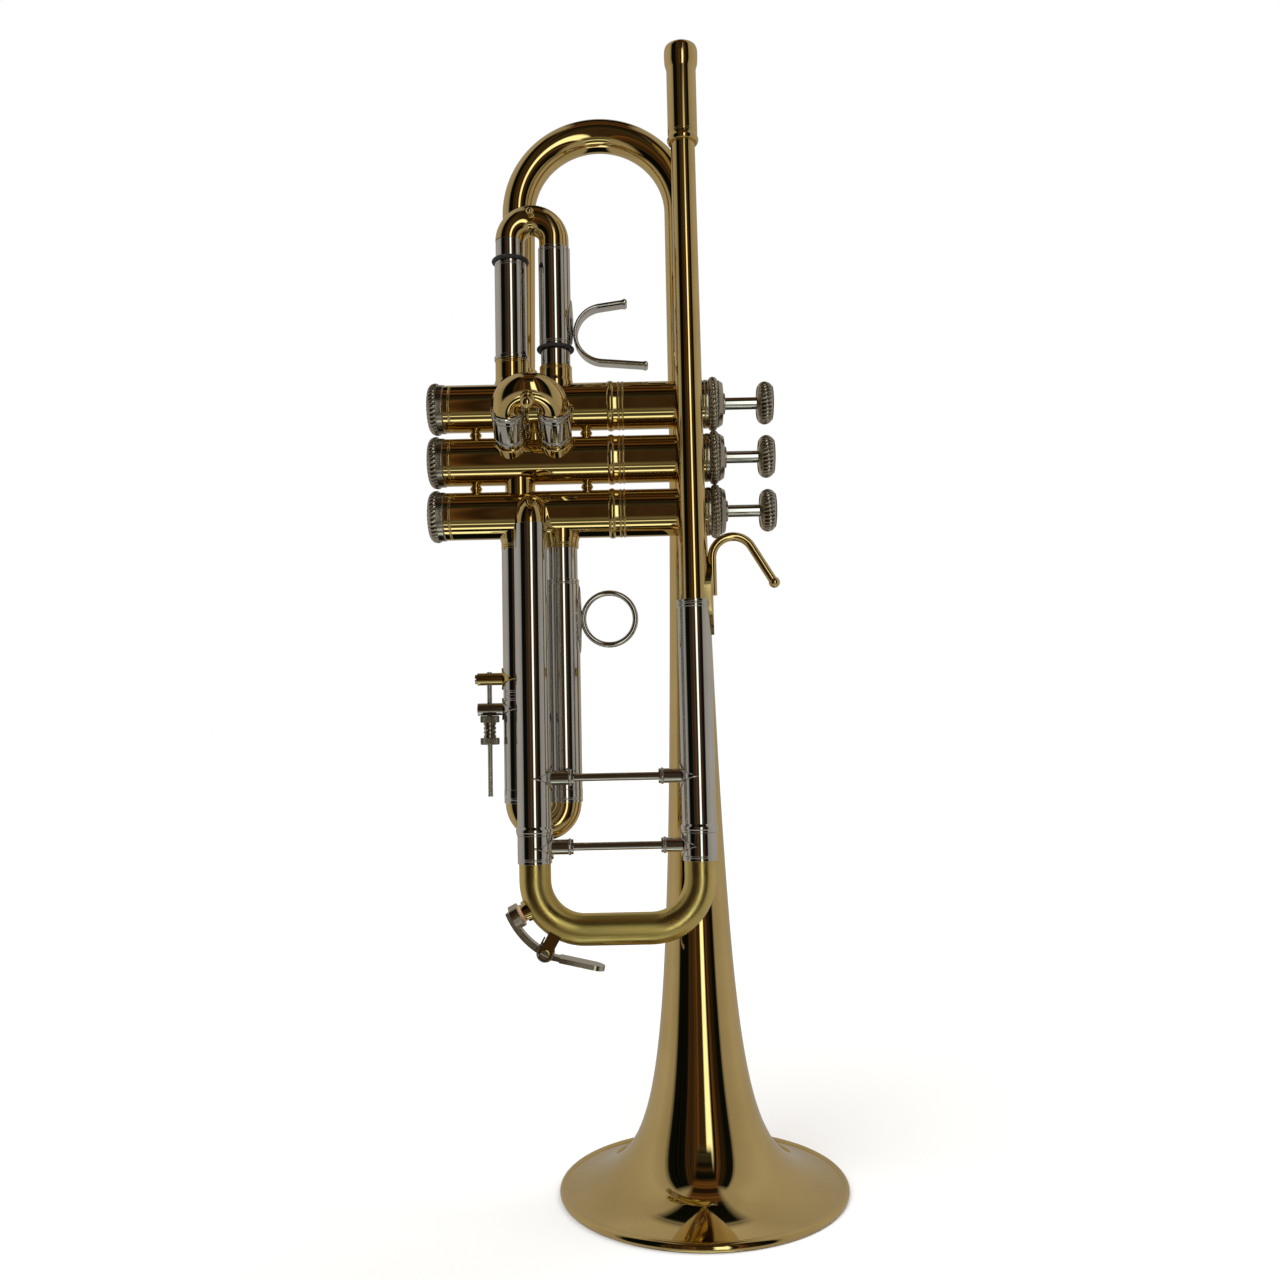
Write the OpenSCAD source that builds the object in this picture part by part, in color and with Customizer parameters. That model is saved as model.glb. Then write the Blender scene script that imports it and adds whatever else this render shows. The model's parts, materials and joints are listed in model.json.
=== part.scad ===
// B-flat trumpet standing on its bell rim.
// Frame: origin at the centre of the bell rim, +Z towards the mouthpiece,
// +X towards the finger buttons, -Y towards the leadpipe side.

/* [Bell] */
// Diameter over the bell rim
rim_d = 122.2; // [118:0.2:126]
// Diameter of the wire bead around the rim
bead_d = 3.8; // [3.4:0.1:4.2]
// Thickness of the bell sheet
bell_wall = 0.6; // [0.5:0.05:0.8]
// Radius of the bell bow, to the centre of the tube
bell_bow_r = 36.65; // [35:0.05:38]
// Height of the centre of the bell bow
bell_bow_z = 428; // [424:1:432]
// Outer diameter of the tube in the bell bow
bell_bow_d = 14.6; // [14:0.1:15]

/* [Tubing] */
// Bore of the cylindrical tubing
bore_d = 11.66; // [11.6:0.02:11.8]
// Wall of an inner slide tube
inner_wall = 0.47; // [0.42:0.01:0.5]
// Wall of an outer slide tube
outer_wall = 0.5; // [0.45:0.01:0.6]
// Gap between an inner slide tube and its outer tube, on the radius
slide_gap = 0.05; // [0.02:0.01:0.08]
// Distance between the two legs of each valve slide
leg_pitch = 19; // [18.6:0.1:19.4]

/* [Leadpipe] */
// Distance from the bell axis to the leadpipe axis
leadpipe_y = 37; // [36:0.5:37.5]
// Height of the mouthpiece end of the receiver
receiver_top = 483; // [480:1:486]
// Height of the lower end of the receiver
receiver_bottom = 441; // [440:1:444]
// Outer diameter of the receiver body
receiver_d = 12.5; // [12.3:0.1:12.8]
// Diameter of the socket at its mouth
socket_d = 11.1; // [11:0.05:11.2]
// Depth of the tapered socket
socket_depth = 28; // [26:1:30]

/* [Main tuning slide] */
// Distance between the two legs of the main tuning slide
main_pitch = 66.5; // [66:0.5:67]
// Height of the top end of the upper sleeve
upper_sleeve_top = 247.5; // [245:0.5:249]
// Height where the sleeves end and the moving part begins
main_seam_z = 153.6; // [152:0.2:155]
// Height where the bow leaves its ferrules
bow_top_z = 142.4; // [141:0.2:144]
// Radius of the two corners of the bow
bow_corner_r = 20; // [19:0.5:20]
// Height of the centre of the bow's corners
bow_corner_z = 135.8; // [135:0.2:137]
// Height of the fixed brace
fixed_brace_z = 176.4; // [172:0.2:182]
// How far the main tuning slide pulls out
main_travel = 25; // [10:1:30]

/* [Valves] */
// Distance between neighbouring valves
valve_pitch = 23.3; // [23.2:0.1:23.6]
// Height of the axis of the first valve
valve1_z = 333.8; // [333:0.2:335]
// Distance from the bell axis to the plane of the valves
valve_y = 20; // [19.8:0.1:20.2]
// Outer diameter of a valve casing
casing_d = 20.2; // [20:0.1:20.4]
// Bore of a valve casing
casing_bore = 17.8; // [17.6:0.1:17.9]
// Place of the bottom end of the casings, along X
casing_bottom_x = -103.8; // [-105:0.1:-103]
// Place of the top end of the casings, along X
casing_top_x = 7; // [6.5:0.1:7.5]
// Travel of a valve when its button is pressed
stroke = 13.5; // [12:0.1:13.5]
// Diameter of a finger button
button_d = 18.2; // [17:0.1:19]

/* [Valve slides] */
// Place of the lower-cap side leg of the first slide, along X
first_leg_x = -75.2; // [-75.6:0.1:-75]
// Height of the centre of the crook of the first slide
first_crook_z = 407.1; // [405:0.1:409]
// Place of the lower-cap side leg of the second slide, along X
second_leg_x = -75; // [-75.4:0.1:-74.8]
// Tilt of the second slide from the trumpet's axis
second_tilt = 50.7; // [50:0.1:52]
// Distance from the axis of valve 2 to the centre of the second crook
second_crook_s = 27.5; // [27:0.1:29]
// Place of the lower-cap side leg of the third slide, along X
third_leg_x = -73.6; // [-74:0.1:-73.4]
// Height of the centre of the crook of the third slide
third_crook_z = 165.6; // [164:0.1:167]
// How far the first slide pulls out
first_travel = 20; // [5:1:24]
// How far the second slide pulls out
second_travel = 7; // [3:1:7]
// How far the third slide pulls out
third_travel = 20; // [5:1:20]

/* [Small parts] */
// Outer diameter of the third slide's finger ring
ring_d = 24.4; // [22:0.2:26]
// Diameter of the rods of the braces
rod_d = 3.2; // [2.8:0.1:3.4]
// Diameter of the stop rod of the third slide
stop_rod_d = 2.3; // [2:0.1:2.4]
// Opening angle of the water key
key_open = 12; // [5:1:12]

/* [Hidden] */

$fn = 64;
eps = 0.01;

bore_r = bore_d / 2;
inner_r = bore_r + inner_wall;
sleeve_ri = inner_r + slide_gap;
sleeve_r = sleeve_ri + outer_wall;
brass_r = bore_r + 0.57;
ferrule_r = sleeve_r + 0.1;
crook_r = leg_pitch / 2;

rim_r = rim_d / 2;
bead_r = bead_d / 2;
bead_flat = 0.25;
bead_inset = 0.6;
sheet_edge_r = rim_r - bead_d + bead_inset;

casing_r = casing_d / 2;
piston_r = casing_bore / 2 - 0.05;
valve_z = [for (i = [0:2]) valve1_z - i * valve_pitch];

leg_x1 = [first_leg_x, first_leg_x + leg_pitch];
leg_x2 = [second_leg_x, second_leg_x + leg_pitch];
leg_x3 = [third_leg_x, third_leg_x + leg_pitch];
tail_x = -2 * bell_bow_r;
knuckle_x = [-65.5, -72.2];

brass = "#b08a3c";
nickel = "#b9b4a8";
dark_nickel = "#8c857a";

// ---------- shared shapes ----------

// A tube along +Z from the origin
module tube(r_out, r_in, h) {
    difference() {
        cylinder(r = r_out, h = h);
        translate([0, 0, -1])
            cylinder(r = r_in, h = h + 2);
    }
}

// A tube that narrows or widens along +Z
module cone_tube(r_out_1, r_in_1, r_out_2, r_in_2, h) {
    rotate_extrude()
        polygon([[r_in_1, 0], [r_out_1, 0], [r_out_2, h], [r_in_2, h]]);
}

// A rounded ring around the Z axis: ring_r to the middle of its section
module ring(ring_r, wire_r) {
    rotate_extrude()
        translate([ring_r, 0])
            circle(r = wire_r, $fn = 32);
}

// A bent tube in the XZ plane: starts at +X from the bend centre and turns towards +Z
module bend(bend_r, r_out, r_in, angle) {
    rotate([90, 0, 0])
        rotate_extrude(angle = angle, $fn = 144)
            translate([bend_r, 0])
                difference() {
                    circle(r = r_out);
                    if (r_in > 0) circle(r = r_in);
                }
}

// Puts a shape drawn along +Z on a valve's axis, pointing to +X, with z measured as x
module on_valve(i) {
    translate([0, -valve_y, valve_z[i]])
        rotate([0, 90, 0])
            children();
}

// The full outer volume of the three casings
module casing_volume() {
    for (i = [0:2])
        on_valve(i)
            translate([0, 0, casing_bottom_x])
                cylinder(r = casing_r, h = casing_top_x - casing_bottom_x);
}

// Frame of the second slide: +Z runs along its legs
module second_frame(x = 0) {
    translate([x, -valve_y, valve_z[1]])
        rotate([second_tilt, 0, 0])
            children();
}

// A diamond foot that wraps half way around a tube of radius r, on its +X side
module diamond_foot(r, half_h, thick = 0.6) {
    reach = r + thick;
    intersection() {
        translate([0, 0, -half_h])
            tube(reach, r, 2 * half_h);
        rotate([90, 0, 90])
            linear_extrude(reach + 1)
                polygon([[-reach, 0], [0, -half_h], [reach, 0], [0, half_h]]);
    }
}

// A brace along X between two tubes of radius r whose axes are span apart
module cross_brace(span, r, half_h, socket_l) {
    socket_r = 3;
    for (side = [0, 1])
        translate([side * span, 0, 0])
            mirror([side, 0, 0]) {
                diamond_foot(r, half_h);
                difference() {
                    union() {
                        rotate([0, 90, 0])
                            cylinder(r = socket_r, h = r + socket_l);
                        translate([r + socket_l - 1.4, 0, 0])
                            rotate([0, 90, 0])
                                ring(socket_r - 0.3, 0.7);
                    }
                    translate([0, 0, -socket_r - 1])
                        cylinder(r = r, h = 2 * socket_r + 2);
                }
            }
    translate([r + socket_l - 1, 0, 0])
        rotate([0, 90, 0])
            cylinder(r = rod_d / 2, h = span - 2 * (r + socket_l - 1));
}

// ---------- bell ----------

flare_scale = 125.64;
flare_shift = 2.294;
flare_power = 0.466;
flare_trim = 0.0045;
flare_trim_z = 120;
flare_end_z = 323;

function flare_r(z) =
    flare_scale * pow(z + flare_shift, -flare_power) - flare_trim * max(0, z - flare_trim_z);
function flare_slope(z) = (flare_r(z - 0.01) - flare_r(z + 0.01)) / 0.02;
function flare_outer(z) = [flare_r(z), z];
function flare_inner(z) =
    let (s = flare_slope(z), n = sqrt(1 + s * s))
    [flare_r(z) - bell_wall / n, z - bell_wall * s / n];

edge_z = pow(flare_scale / sheet_edge_r, 1 / flare_power) - flare_shift;
flare_steps = 46;
// Heights crowd towards the rim, where the sheet turns fastest
flare_zs = [for (i = [0:flare_steps]) edge_z + (flare_end_z - edge_z) * pow(i / flare_steps, 3)];
flare_points = [for (z = flare_zs) flare_outer(z)];

module bell_sheet() {
    top_inner = [flare_r(flare_end_z) - bell_wall, flare_end_z];
    inner_points = concat([top_inner], [for (i = [flare_steps - 1:-1:1]) flare_inner(flare_zs[i])]);
    rotate_extrude($fn = 96)
        polygon(concat(flare_points, inner_points, [[sheet_edge_r, edge_z - bell_wall]]));
}

tail_end_z = 346;
tail_ferrule_top = 356;
tail_r = 6.4;

module bell() {
    stem_r = flare_r(flare_end_z);
    bow_ro = bell_bow_d / 2;
    wall = 0.5;
    color(brass) {
        bell_sheet();
        translate([0, 0, flare_end_z])
            cone_tube(stem_r, stem_r - bell_wall, bow_ro, bow_ro - wall, bell_bow_z - flare_end_z);
        translate([-bell_bow_r, 0, bell_bow_z])
            bend(bell_bow_r, bow_ro, bow_ro - wall, 180);
        translate([tail_x, 0, tail_ferrule_top])
            cone_tube(tail_r, tail_r - wall, bow_ro, bow_ro - wall, bell_bow_z - tail_ferrule_top);
        translate([tail_x, 0, tail_end_z])
            tube(tail_r, tail_r - wall, tail_ferrule_top - tail_end_z);
    }
}

module bell_rim_wire() {
    color(brass)
        rotate_extrude($fn = 96)
            intersection() {
                translate([rim_r - bead_r, bead_r - bead_flat])
                    circle(r = bead_r, $fn = 48);
                translate([sheet_edge_r, 0])
                    square([bead_d, bead_d]);
            }
}

// An elbow's volume: a quarter bend, a leg of radius leg_r down from its end at +X,
// and a run of radius r back towards -X from its end at +Z
module elbow_path(bend_r, r, leg_r, leg_l, run_l) {
    bend(bend_r, r, 0, 90);
    translate([bend_r, 0, -leg_l])
        cylinder(r = leg_r, h = leg_l);
    translate([0, 0, bend_r])
        rotate([0, -90, 0])
            cylinder(r = r, h = run_l);
}

// Elbow from the bell's tail round into the back of casing 1
module bell_tail_elbow() {
    elbow_r = 7.5;
    elbow_ro = 6.8;
    leg_l = tail_ferrule_top - valve_z[0] - elbow_r;
    socket_l = tail_ferrule_top - tail_end_z;
    color(brass)
        difference() {
            translate([tail_x, -elbow_r, valve_z[0] + elbow_r])
                rotate([180, 0, 90])
                    difference() {
                        union() {
                            elbow_path(elbow_r, elbow_ro, elbow_ro, leg_l, 6);
                            translate([elbow_r, 0, -leg_l])
                                cylinder(r = elbow_ro + 0.5, h = 1.6);
                        }
                        elbow_path(elbow_r, bore_r, bore_r, leg_l + 1, 8);
                        translate([elbow_r, 0, -leg_l - 1])
                            cylinder(r = tail_r, h = socket_l + 1);
                    }
            casing_volume();
        }
}

// Turned brace along Y between the leadpipe side and the bell stem
module bell_brace(z, r_front, r_back) {
    gap_start = -leadpipe_y + r_front;
    gap = leadpipe_y - r_front - r_back;
    difference() {
        translate([0, gap_start - 2, z])
            rotate([-90, 0, 0]) {
                cylinder(r = 2, h = gap + 4);
                cylinder(r = 4.2, h = 3.2);
                translate([0, 0, gap + 0.8])
                    cylinder(r = 4.2, h = 3.2);
                translate([0, 0, (gap + 4) / 2])
                    ring(2, 1);
            }
        translate([0, -leadpipe_y, z - 10])
            cylinder(r = r_front, h = 20);
        translate([0, 0, z - 10])
            cylinder(r = r_back, h = 20);
    }
}

upper_brace_z = 392;
lower_brace_z = 222;

module bell_braces() {
    stem_top_r = bell_bow_d / 2;
    color(brass) {
        difference() {
            bell_brace(upper_brace_z, 4.8, stem_top_r - 0.5);
            leadpipe_volume();
            translate([0, 0, flare_end_z])
                cylinder(r1 = flare_r(flare_end_z), r2 = stem_top_r, h = bell_bow_z - flare_end_z);
        }
        difference() {
            bell_brace(lower_brace_z, sleeve_r, 8.5);
            rotate_extrude($fn = 96)
                polygon(concat([[0, edge_z]], flare_points, [[0, flare_end_z]]));
        }
    }
}

// ---------- leadpipe ----------

leadpipe_top = 455;
leadpipe_end = 238;
leadpipe_r1 = 5.9;
leadpipe_r2 = 5;
sleeve_ring_r = 7.2;

module leadpipe_volume() {
    translate([0, -leadpipe_y, leadpipe_end])
        cylinder(r1 = leadpipe_r1, r2 = leadpipe_r2, h = leadpipe_top - leadpipe_end);
}

module leadpipe() {
    color(brass)
        difference() {
            leadpipe_volume();
            translate([0, -leadpipe_y, leadpipe_end - eps])
                cylinder(r1 = leadpipe_r1 - 0.5, r2 = leadpipe_r2 - 0.6,
                         h = leadpipe_top - leadpipe_end + 2 * eps);
        }
}

module mouthpiece_receiver() {
    body_r = receiver_d / 2;
    mouth_r = socket_d / 2;
    seat_r = mouth_r - socket_depth / 40;
    collar_h = 9;
    color(brass)
        translate([0, -leadpipe_y, 0])
            difference() {
                union() {
                    translate([0, 0, receiver_bottom])
                        cylinder(r = body_r, h = receiver_top - receiver_bottom - collar_h / 2);
                    translate([0, 0, receiver_bottom + 1.4])
                        ring(body_r - 1, 1.4);
                    rotate_extrude()
                        intersection() {
                            translate([body_r - 4.2, receiver_top - collar_h / 2])
                                circle(r = 5.1);
                            translate([0, receiver_top - collar_h])
                                square([20, collar_h]);
                        }
                }
                translate([0, 0, receiver_top - socket_depth])
                    cylinder(r1 = seat_r, r2 = mouth_r, h = socket_depth + eps);
                translate([0, 0, leadpipe_top - 1])
                    cylinder(r = leadpipe_r2 - 0.6, h = receiver_top - leadpipe_top);
                translate([0, leadpipe_y, 0])
                    leadpipe_volume();
            }
}

// Wire hook for the little finger, on a leaf-shaped foot
module finger_hook() {
    wire_r = 1.8;
    arc_r = 8.8;
    arc_x = 16.6;
    arc_z = 264.6;
    past_top = 59;
    tail_l = 17.5;
    foot_z = 249.3;
    foot_half = 16.2;
    color(brass)
        translate([0, -leadpipe_y, 0])
            difference() {
                union() {
                    intersection() {
                        translate([0, 0, foot_z - foot_half])
                            cylinder(r = 8, h = 2 * foot_half);
                        translate([0, 0, foot_z])
                            rotate([90, 0, 90])
                                linear_extrude(12)
                                    leaf(4.6, foot_half);
                    }
                    translate([arc_x - arc_r, 0, foot_z])
                        cylinder(r = wire_r, h = arc_z - foot_z, $fn = 32);
                    translate([arc_x, 0, arc_z])
                        rotate([0, -(90 - past_top), 0])
                            bend(arc_r, wire_r, 0, 90 + past_top, $fn = 32);
                    translate([arc_x + arc_r * sin(past_top), 0, arc_z + arc_r * cos(past_top)])
                        rotate([0, 90 + past_top, 0])
                            translate([0, 0, -0.05]) {
                                cylinder(r = wire_r, h = tail_l, $fn = 32);
                                translate([0, 0, tail_l])
                                    sphere(r = wire_r + 0.5, $fn = 32);
                            }
                }
                translate([0, leadpipe_y, 0])
                    leadpipe_volume();
                translate([0, 0, 200])
                    cylinder(r = sleeve_r, h = upper_sleeve_top - 200);
                translate([0, 0, upper_sleeve_top - 3])
                    cylinder(r = sleeve_ring_r, h = 3);
            }
}

// A pointed leaf outline, 2 * half_h tall and 2 * half_w wide
module leaf(half_w, half_h) {
    steps = 12;
    polygon([
        for (i = [-steps:steps]) [half_w * cos(90 * i / steps), half_h * i / steps],
        for (i = [steps - 1:-1:1 - steps]) [-half_w * cos(90 * i / steps), half_h * i / steps]
    ]);
}

// ---------- main tuning slide, fixed side ----------

bead_ring_h = 3.6;

module sleeve_bead() {
    translate([0, 0, main_seam_z + 0.1])
        rotate_extrude()
            intersection() {
                translate([sleeve_r - 1.1, bead_ring_h / 2])
                    circle(r = 1.8, $fn = 32);
                translate([sleeve_ri, 0])
                    square([4, bead_ring_h]);
            }
}

module upper_sleeve() {
    color(nickel)
        translate([0, -leadpipe_y, 0]) {
            translate([0, 0, main_seam_z + 0.1])
                tube(sleeve_r, sleeve_ri, leadpipe_end - main_seam_z - 0.1);
            sleeve_bead();
            difference() {
                union() {
                    translate([0, 0, leadpipe_end])
                        cylinder(r = sleeve_r, h = upper_sleeve_top - leadpipe_end);
                    translate([0, 0, upper_sleeve_top - 3])
                        cylinder(r = sleeve_ring_r, h = 3);
                }
                translate([0, leadpipe_y, 0])
                    leadpipe_volume();
            }
        }
}

elbow_bend_r = leadpipe_y - valve_y - casing_r + 0.1;
elbow_end_z = valve_z[2] - elbow_bend_r;
elbow_spigot = 6;

module lower_sleeve() {
    color(nickel)
        translate([-main_pitch, -leadpipe_y, 0]) {
            translate([0, 0, main_seam_z + 0.1])
                tube(sleeve_r, sleeve_ri, elbow_end_z - main_seam_z - 0.1);
            sleeve_bead();
        }
}

// Elbow from the front of casing 3 down into the lower sleeve
module sleeve_elbow() {
    color(brass)
        difference() {
            translate([-main_pitch, -leadpipe_y + elbow_bend_r, elbow_end_z])
                rotate([0, 0, -90])
                    difference() {
                        elbow_path(elbow_bend_r, brass_r, sleeve_ri, elbow_spigot, 6);
                        elbow_path(elbow_bend_r, bore_r, bore_r, elbow_spigot + 1, 10);
                    }
            casing_volume();
        }
}

// The two elbows that join the bell and the lower sleeve to the casings
module casing_elbows() {
    bell_tail_elbow();
    sleeve_elbow();
}

module sleeve_brace() {
    color(nickel)
        translate([-main_pitch, -leadpipe_y, fixed_brace_z])
            cross_brace(main_pitch, sleeve_r, 5, 9.2);
}

// ---------- main tuning slide, moving side ----------

ferrule_grip = 4.6;
bow_end_z = bow_top_z + ferrule_grip;

// Solid volume of the bow's tube, from leg to leg, with its ends at height top
module bow_path(r, top) {
    straight = main_pitch - 2 * bow_corner_r;
    for (side = [0, 1])
        translate([-side * main_pitch, -leadpipe_y, bow_corner_z])
            cylinder(r = r, h = top - bow_corner_z);
    translate([-bow_corner_r, -leadpipe_y, bow_corner_z])
        mirror([0, 0, 1])
            bend(bow_corner_r, r, 0, 90);
    translate([bow_corner_r - main_pitch, -leadpipe_y, bow_corner_z])
        mirror([1, 0, 0])
            mirror([0, 0, 1])
                bend(bow_corner_r, r, 0, 90);
    translate([-bow_corner_r - straight, -leadpipe_y, bow_corner_z - bow_corner_r])
        rotate([0, 90, 0])
            cylinder(r = r, h = straight);
}

// Frame of the water key: +Z points out of the bow's corner at the given angle from -X
module bow_radial(angle, rho) {
    translate([bow_corner_r - main_pitch, -leadpipe_y, bow_corner_z])
        rotate([0, -90 - angle, 0])
            translate([0, 0, rho])
                children();
}

nipple_angle = 27.4;
pivot_angle = 60.5;
pivot_rho = 33;
nipple_rho = 28;
nipple_bore = 1.6;

module tuning_bow() {
    color("#b89a3a")
        difference() {
            bow_path(brass_r, bow_end_z);
            bow_path(bore_r, bow_end_z + 1);
            bow_radial(nipple_angle, bow_corner_r)
                cylinder(r = nipple_bore, h = 12, $fn = 32);
        }
}

module tuning_leg(top) {
    difference() {
        translate([0, 0, bow_top_z])
            cylinder(r = ferrule_r, h = main_seam_z - bow_top_z);
        translate([0, 0, bow_top_z - 1])
            cylinder(r = brass_r, h = ferrule_grip + 1);
        translate([0, 0, bow_end_z - eps])
            cylinder(r = bore_r, h = 20);
    }
    translate([0, 0, main_seam_z - eps])
        tube(inner_r, bore_r, top - main_seam_z);
}

module tuning_slide_tubes() {
    color(nickel) {
        translate([0, -leadpipe_y, 0])
            tuning_leg(leadpipe_end - 2);
        translate([-main_pitch, -leadpipe_y, 0])
            tuning_leg(elbow_end_z - elbow_spigot - 2);
    }
}

module tuning_slide_brace() {
    half_h = 4.8;
    color(nickel)
        translate([-main_pitch, -leadpipe_y, main_seam_z - half_h - 0.1])
            cross_brace(main_pitch, ferrule_r, half_h, 8.6);
}

module water_key_nipple() {
    color(brass)
        difference() {
            bow_radial(nipple_angle, bow_corner_r)
                difference() {
                    union() {
                        cylinder(r = 3.1, h = nipple_rho - bow_corner_r, $fn = 48);
                        cylinder(r1 = 5.4, r2 = 4.2, h = 7.2, $fn = 48);
                    }
                    translate([0, 0, -1])
                        cylinder(r = nipple_bore, h = 20, $fn = 32);
                }
            bow_path(brass_r, bow_end_z);
        }
}

saddle_inner = 3.5;
saddle_thick = 1.4;
pin_r = 0.9;

module water_key_saddle() {
    post_w = 5;
    color(brass)
        difference() {
            bow_radial(pivot_angle, 0)
                for (side = [-1, 1])
                    translate([0, side * (saddle_inner + saddle_thick / 2), 0]) {
                        translate([-post_w / 2, -saddle_thick / 2, bow_corner_r])
                            cube([post_w, saddle_thick, pivot_rho - bow_corner_r]);
                        translate([0, saddle_thick / 2, pivot_rho])
                            rotate([90, 0, 0])
                                cylinder(r = post_w / 2, h = saddle_thick, $fn = 32);
                    }
            bow_radial(pivot_angle, pivot_rho)
                rotate([90, 0, 0])
                    cylinder(r = pin_r, h = 20, center = true, $fn = 32);
            bow_path(brass_r, bow_end_z);
        }
}

module water_key_pin() {
    half_l = saddle_inner + saddle_thick;
    color(dark_nickel)
        bow_radial(pivot_angle, pivot_rho)
            rotate([90, 0, 0]) {
                translate([0, 0, -half_l])
                    cylinder(r = pin_r, h = 2 * half_l, $fn = 32);
                difference() {
                    translate([0, 0, half_l])
                        cylinder(r = 1.8, h = 0.9, $fn = 32);
                    translate([-2, -0.25, half_l + 0.4])
                        cube([4, 0.5, 1]);
                }
            }
}

// Two turns of wire around the lever's barrel, with a leg that rests against the bow
module water_key_spring() {
    wire = 0.35;
    turn_r = 3.15;
    color("#3c3a38")
        bow_radial(pivot_angle, pivot_rho)
            for (side = [-1, 1])
                translate([0, side * 2.95, 0]) {
                    rotate([90, 0, 0])
                        ring(turn_r, wire, $fn = 32);
                    translate([turn_r, 0, -4.6])
                        cylinder(r = wire, h = 4.6, $fn = 16);
                }
}

cup_rho = 29.2;
cup_h = 3.4;
cork_r = 3.5;
cork_h = 2.9;
lever_w = 4.8;

// Ring sector between two radii, from angle a0 to a1, in the plane of the bow
module sector(r0, r1, a0, a1) {
    steps = 10;
    polygon([
        for (i = [0:steps]) r0 * [cos(a0 + (a1 - a0) * i / steps), sin(a0 + (a1 - a0) * i / steps)],
        for (i = [steps:-1:0]) r1 * [cos(a0 + (a1 - a0) * i / steps), sin(a0 + (a1 - a0) * i / steps)]
    ]);
}

module water_key_lever() {
    paddle_l = 24.5;
    paddle_w = 8.6;
    paddle_t = 2;
    neck_l = 6;
    paddle_drop = 13;
    arm_r0 = cup_rho + cup_h - 0.6;
    color(dark_nickel)
        difference() {
            union() {
                translate([bow_corner_r - main_pitch, -leadpipe_y + lever_w / 2, bow_corner_z])
                    rotate([90, 0, 0])
                        linear_extrude(lever_w)
                            sector(arm_r0, arm_r0 + 2.6, 180 + nipple_angle - 5, 180 + pivot_angle);
                bow_radial(nipple_angle, cup_rho)
                    cylinder(r = 4.9, h = cup_h, $fn = 48);
                bow_radial(pivot_angle, pivot_rho)
                    rotate([90, 0, 0])
                        cylinder(r = 2.6, h = 2 * saddle_inner - 0.3, center = true, $fn = 48);
                bow_radial(pivot_angle, pivot_rho)
                    rotate([0, 90 + pivot_angle, 0])
                        rotate([0, paddle_drop, 0]) {
                            translate([0, -lever_w / 2, -2.2])
                                cube([neck_l + 4, lever_w, paddle_t]);
                            translate([neck_l, -paddle_w / 2, -2.2])
                                cube([paddle_l - neck_l - paddle_w / 2, paddle_w, paddle_t]);
                            translate([paddle_l - paddle_w / 2, 0, -2.2])
                                cylinder(r = paddle_w / 2, h = paddle_t, $fn = 48);
                        }
            }
            bow_radial(nipple_angle, cup_rho - 1)
                cylinder(r = cork_r, h = cork_h - 0.3, $fn = 48);
            bow_radial(pivot_angle, pivot_rho)
                rotate([90, 0, 0])
                    cylinder(r = pin_r + 0.05, h = 20, center = true, $fn = 32);
        }
}

module water_key_cork() {
    color("#c8a878")
        bow_radial(nipple_angle, nipple_rho + 0.03)
            cylinder(r = cork_r, h = cup_rho - 1 + cork_h - 0.3 - nipple_rho - 0.03, $fn = 48);
}

// ---------- valves ----------

thread_r = casing_r - 0.4;
thread_bottom_x = casing_bottom_x - 3.2;
thread_top_x = casing_top_x + 3.5;
guide_slot_w = 3.1;
guide_x = -17.6;
guide_h = 2.5;

// Casing tube, beads and guide slots; ports are cut by the children, drawn in place
module casing(i) {
    balance_x = -31;
    color(brass)
        difference() {
            union() {
                on_valve(i) {
                    translate([0, 0, casing_bottom_x])
                        cylinder(r = casing_r, h = casing_top_x - casing_bottom_x);
                    translate([0, 0, thread_bottom_x])
                        cylinder(r = thread_r, h = thread_top_x - thread_bottom_x);
                    translate([0, 0, balance_x - 2])
                        rotate_extrude()
                            translate([casing_r - 1.4, 0])
                                circle(r = 2, $fn = 32);
                    for (offset_x = [1.6, 3.2])
                        translate([0, 0, balance_x + offset_x])
                            ring(casing_r - 0.25, 0.55);
                }
            }
            on_valve(i) {
                translate([0, 0, thread_bottom_x - 1])
                    cylinder(r = casing_bore / 2, h = thread_top_x - thread_bottom_x + 2);
                for (side = [0, 180])
                    rotate([0, 0, side])
                        translate([-guide_slot_w / 2, 0, guide_x - 0.05])
                            cube([guide_slot_w, casing_bore / 2 + 0.5, thread_top_x - guide_x + 1]);
            }
            children();
        }
}

// A port that leaves a valve at place x, turned by angle from +Z towards -Y
module port(i, x, angle, r = bore_r) {
    translate([x, -valve_y, valve_z[i]])
        rotate([angle, 0, 0])
            cylinder(r = r, h = casing_r + 3);
}

up = 0;
front = 90;
down = 180;
back = -90;

module valve_casing_1() {
    casing(0) {
        port(0, leg_x1[0], up);
        port(0, leg_x1[1], up);
        port(0, tail_x, back);
        port(0, knuckle_x[0], down);
    }
}

module valve_casing_2() {
    casing(1) {
        port(1, leg_x2[0], second_tilt);
        port(1, leg_x2[1], second_tilt);
        port(1, knuckle_x[0], up);
        port(1, knuckle_x[1], down);
    }
}

module valve_casing_3() {
    casing(2) {
        port(2, leg_x3[0], down);
        port(2, leg_x3[1], down);
        port(2, knuckle_x[1], up);
        port(2, -main_pitch, front);
    }
}

module casing_posts() {
    color(brass)
        difference() {
            for (i = [0, 1], x = [-91, -43.6])
                translate([x, -valve_y, valve_z[i] - valve_pitch / 2])
                    sphere(r = 3.5, $fn = 48);
            casing_volume();
        }
}

module valve_knuckles() {
    color(brass)
        difference() {
            for (i = [0, 1])
                translate([knuckle_x[i], -valve_y, valve_z[i + 1] + 4])
                    tube(brass_r, bore_r, valve_pitch - 8);
            casing_volume();
        }
}

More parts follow.
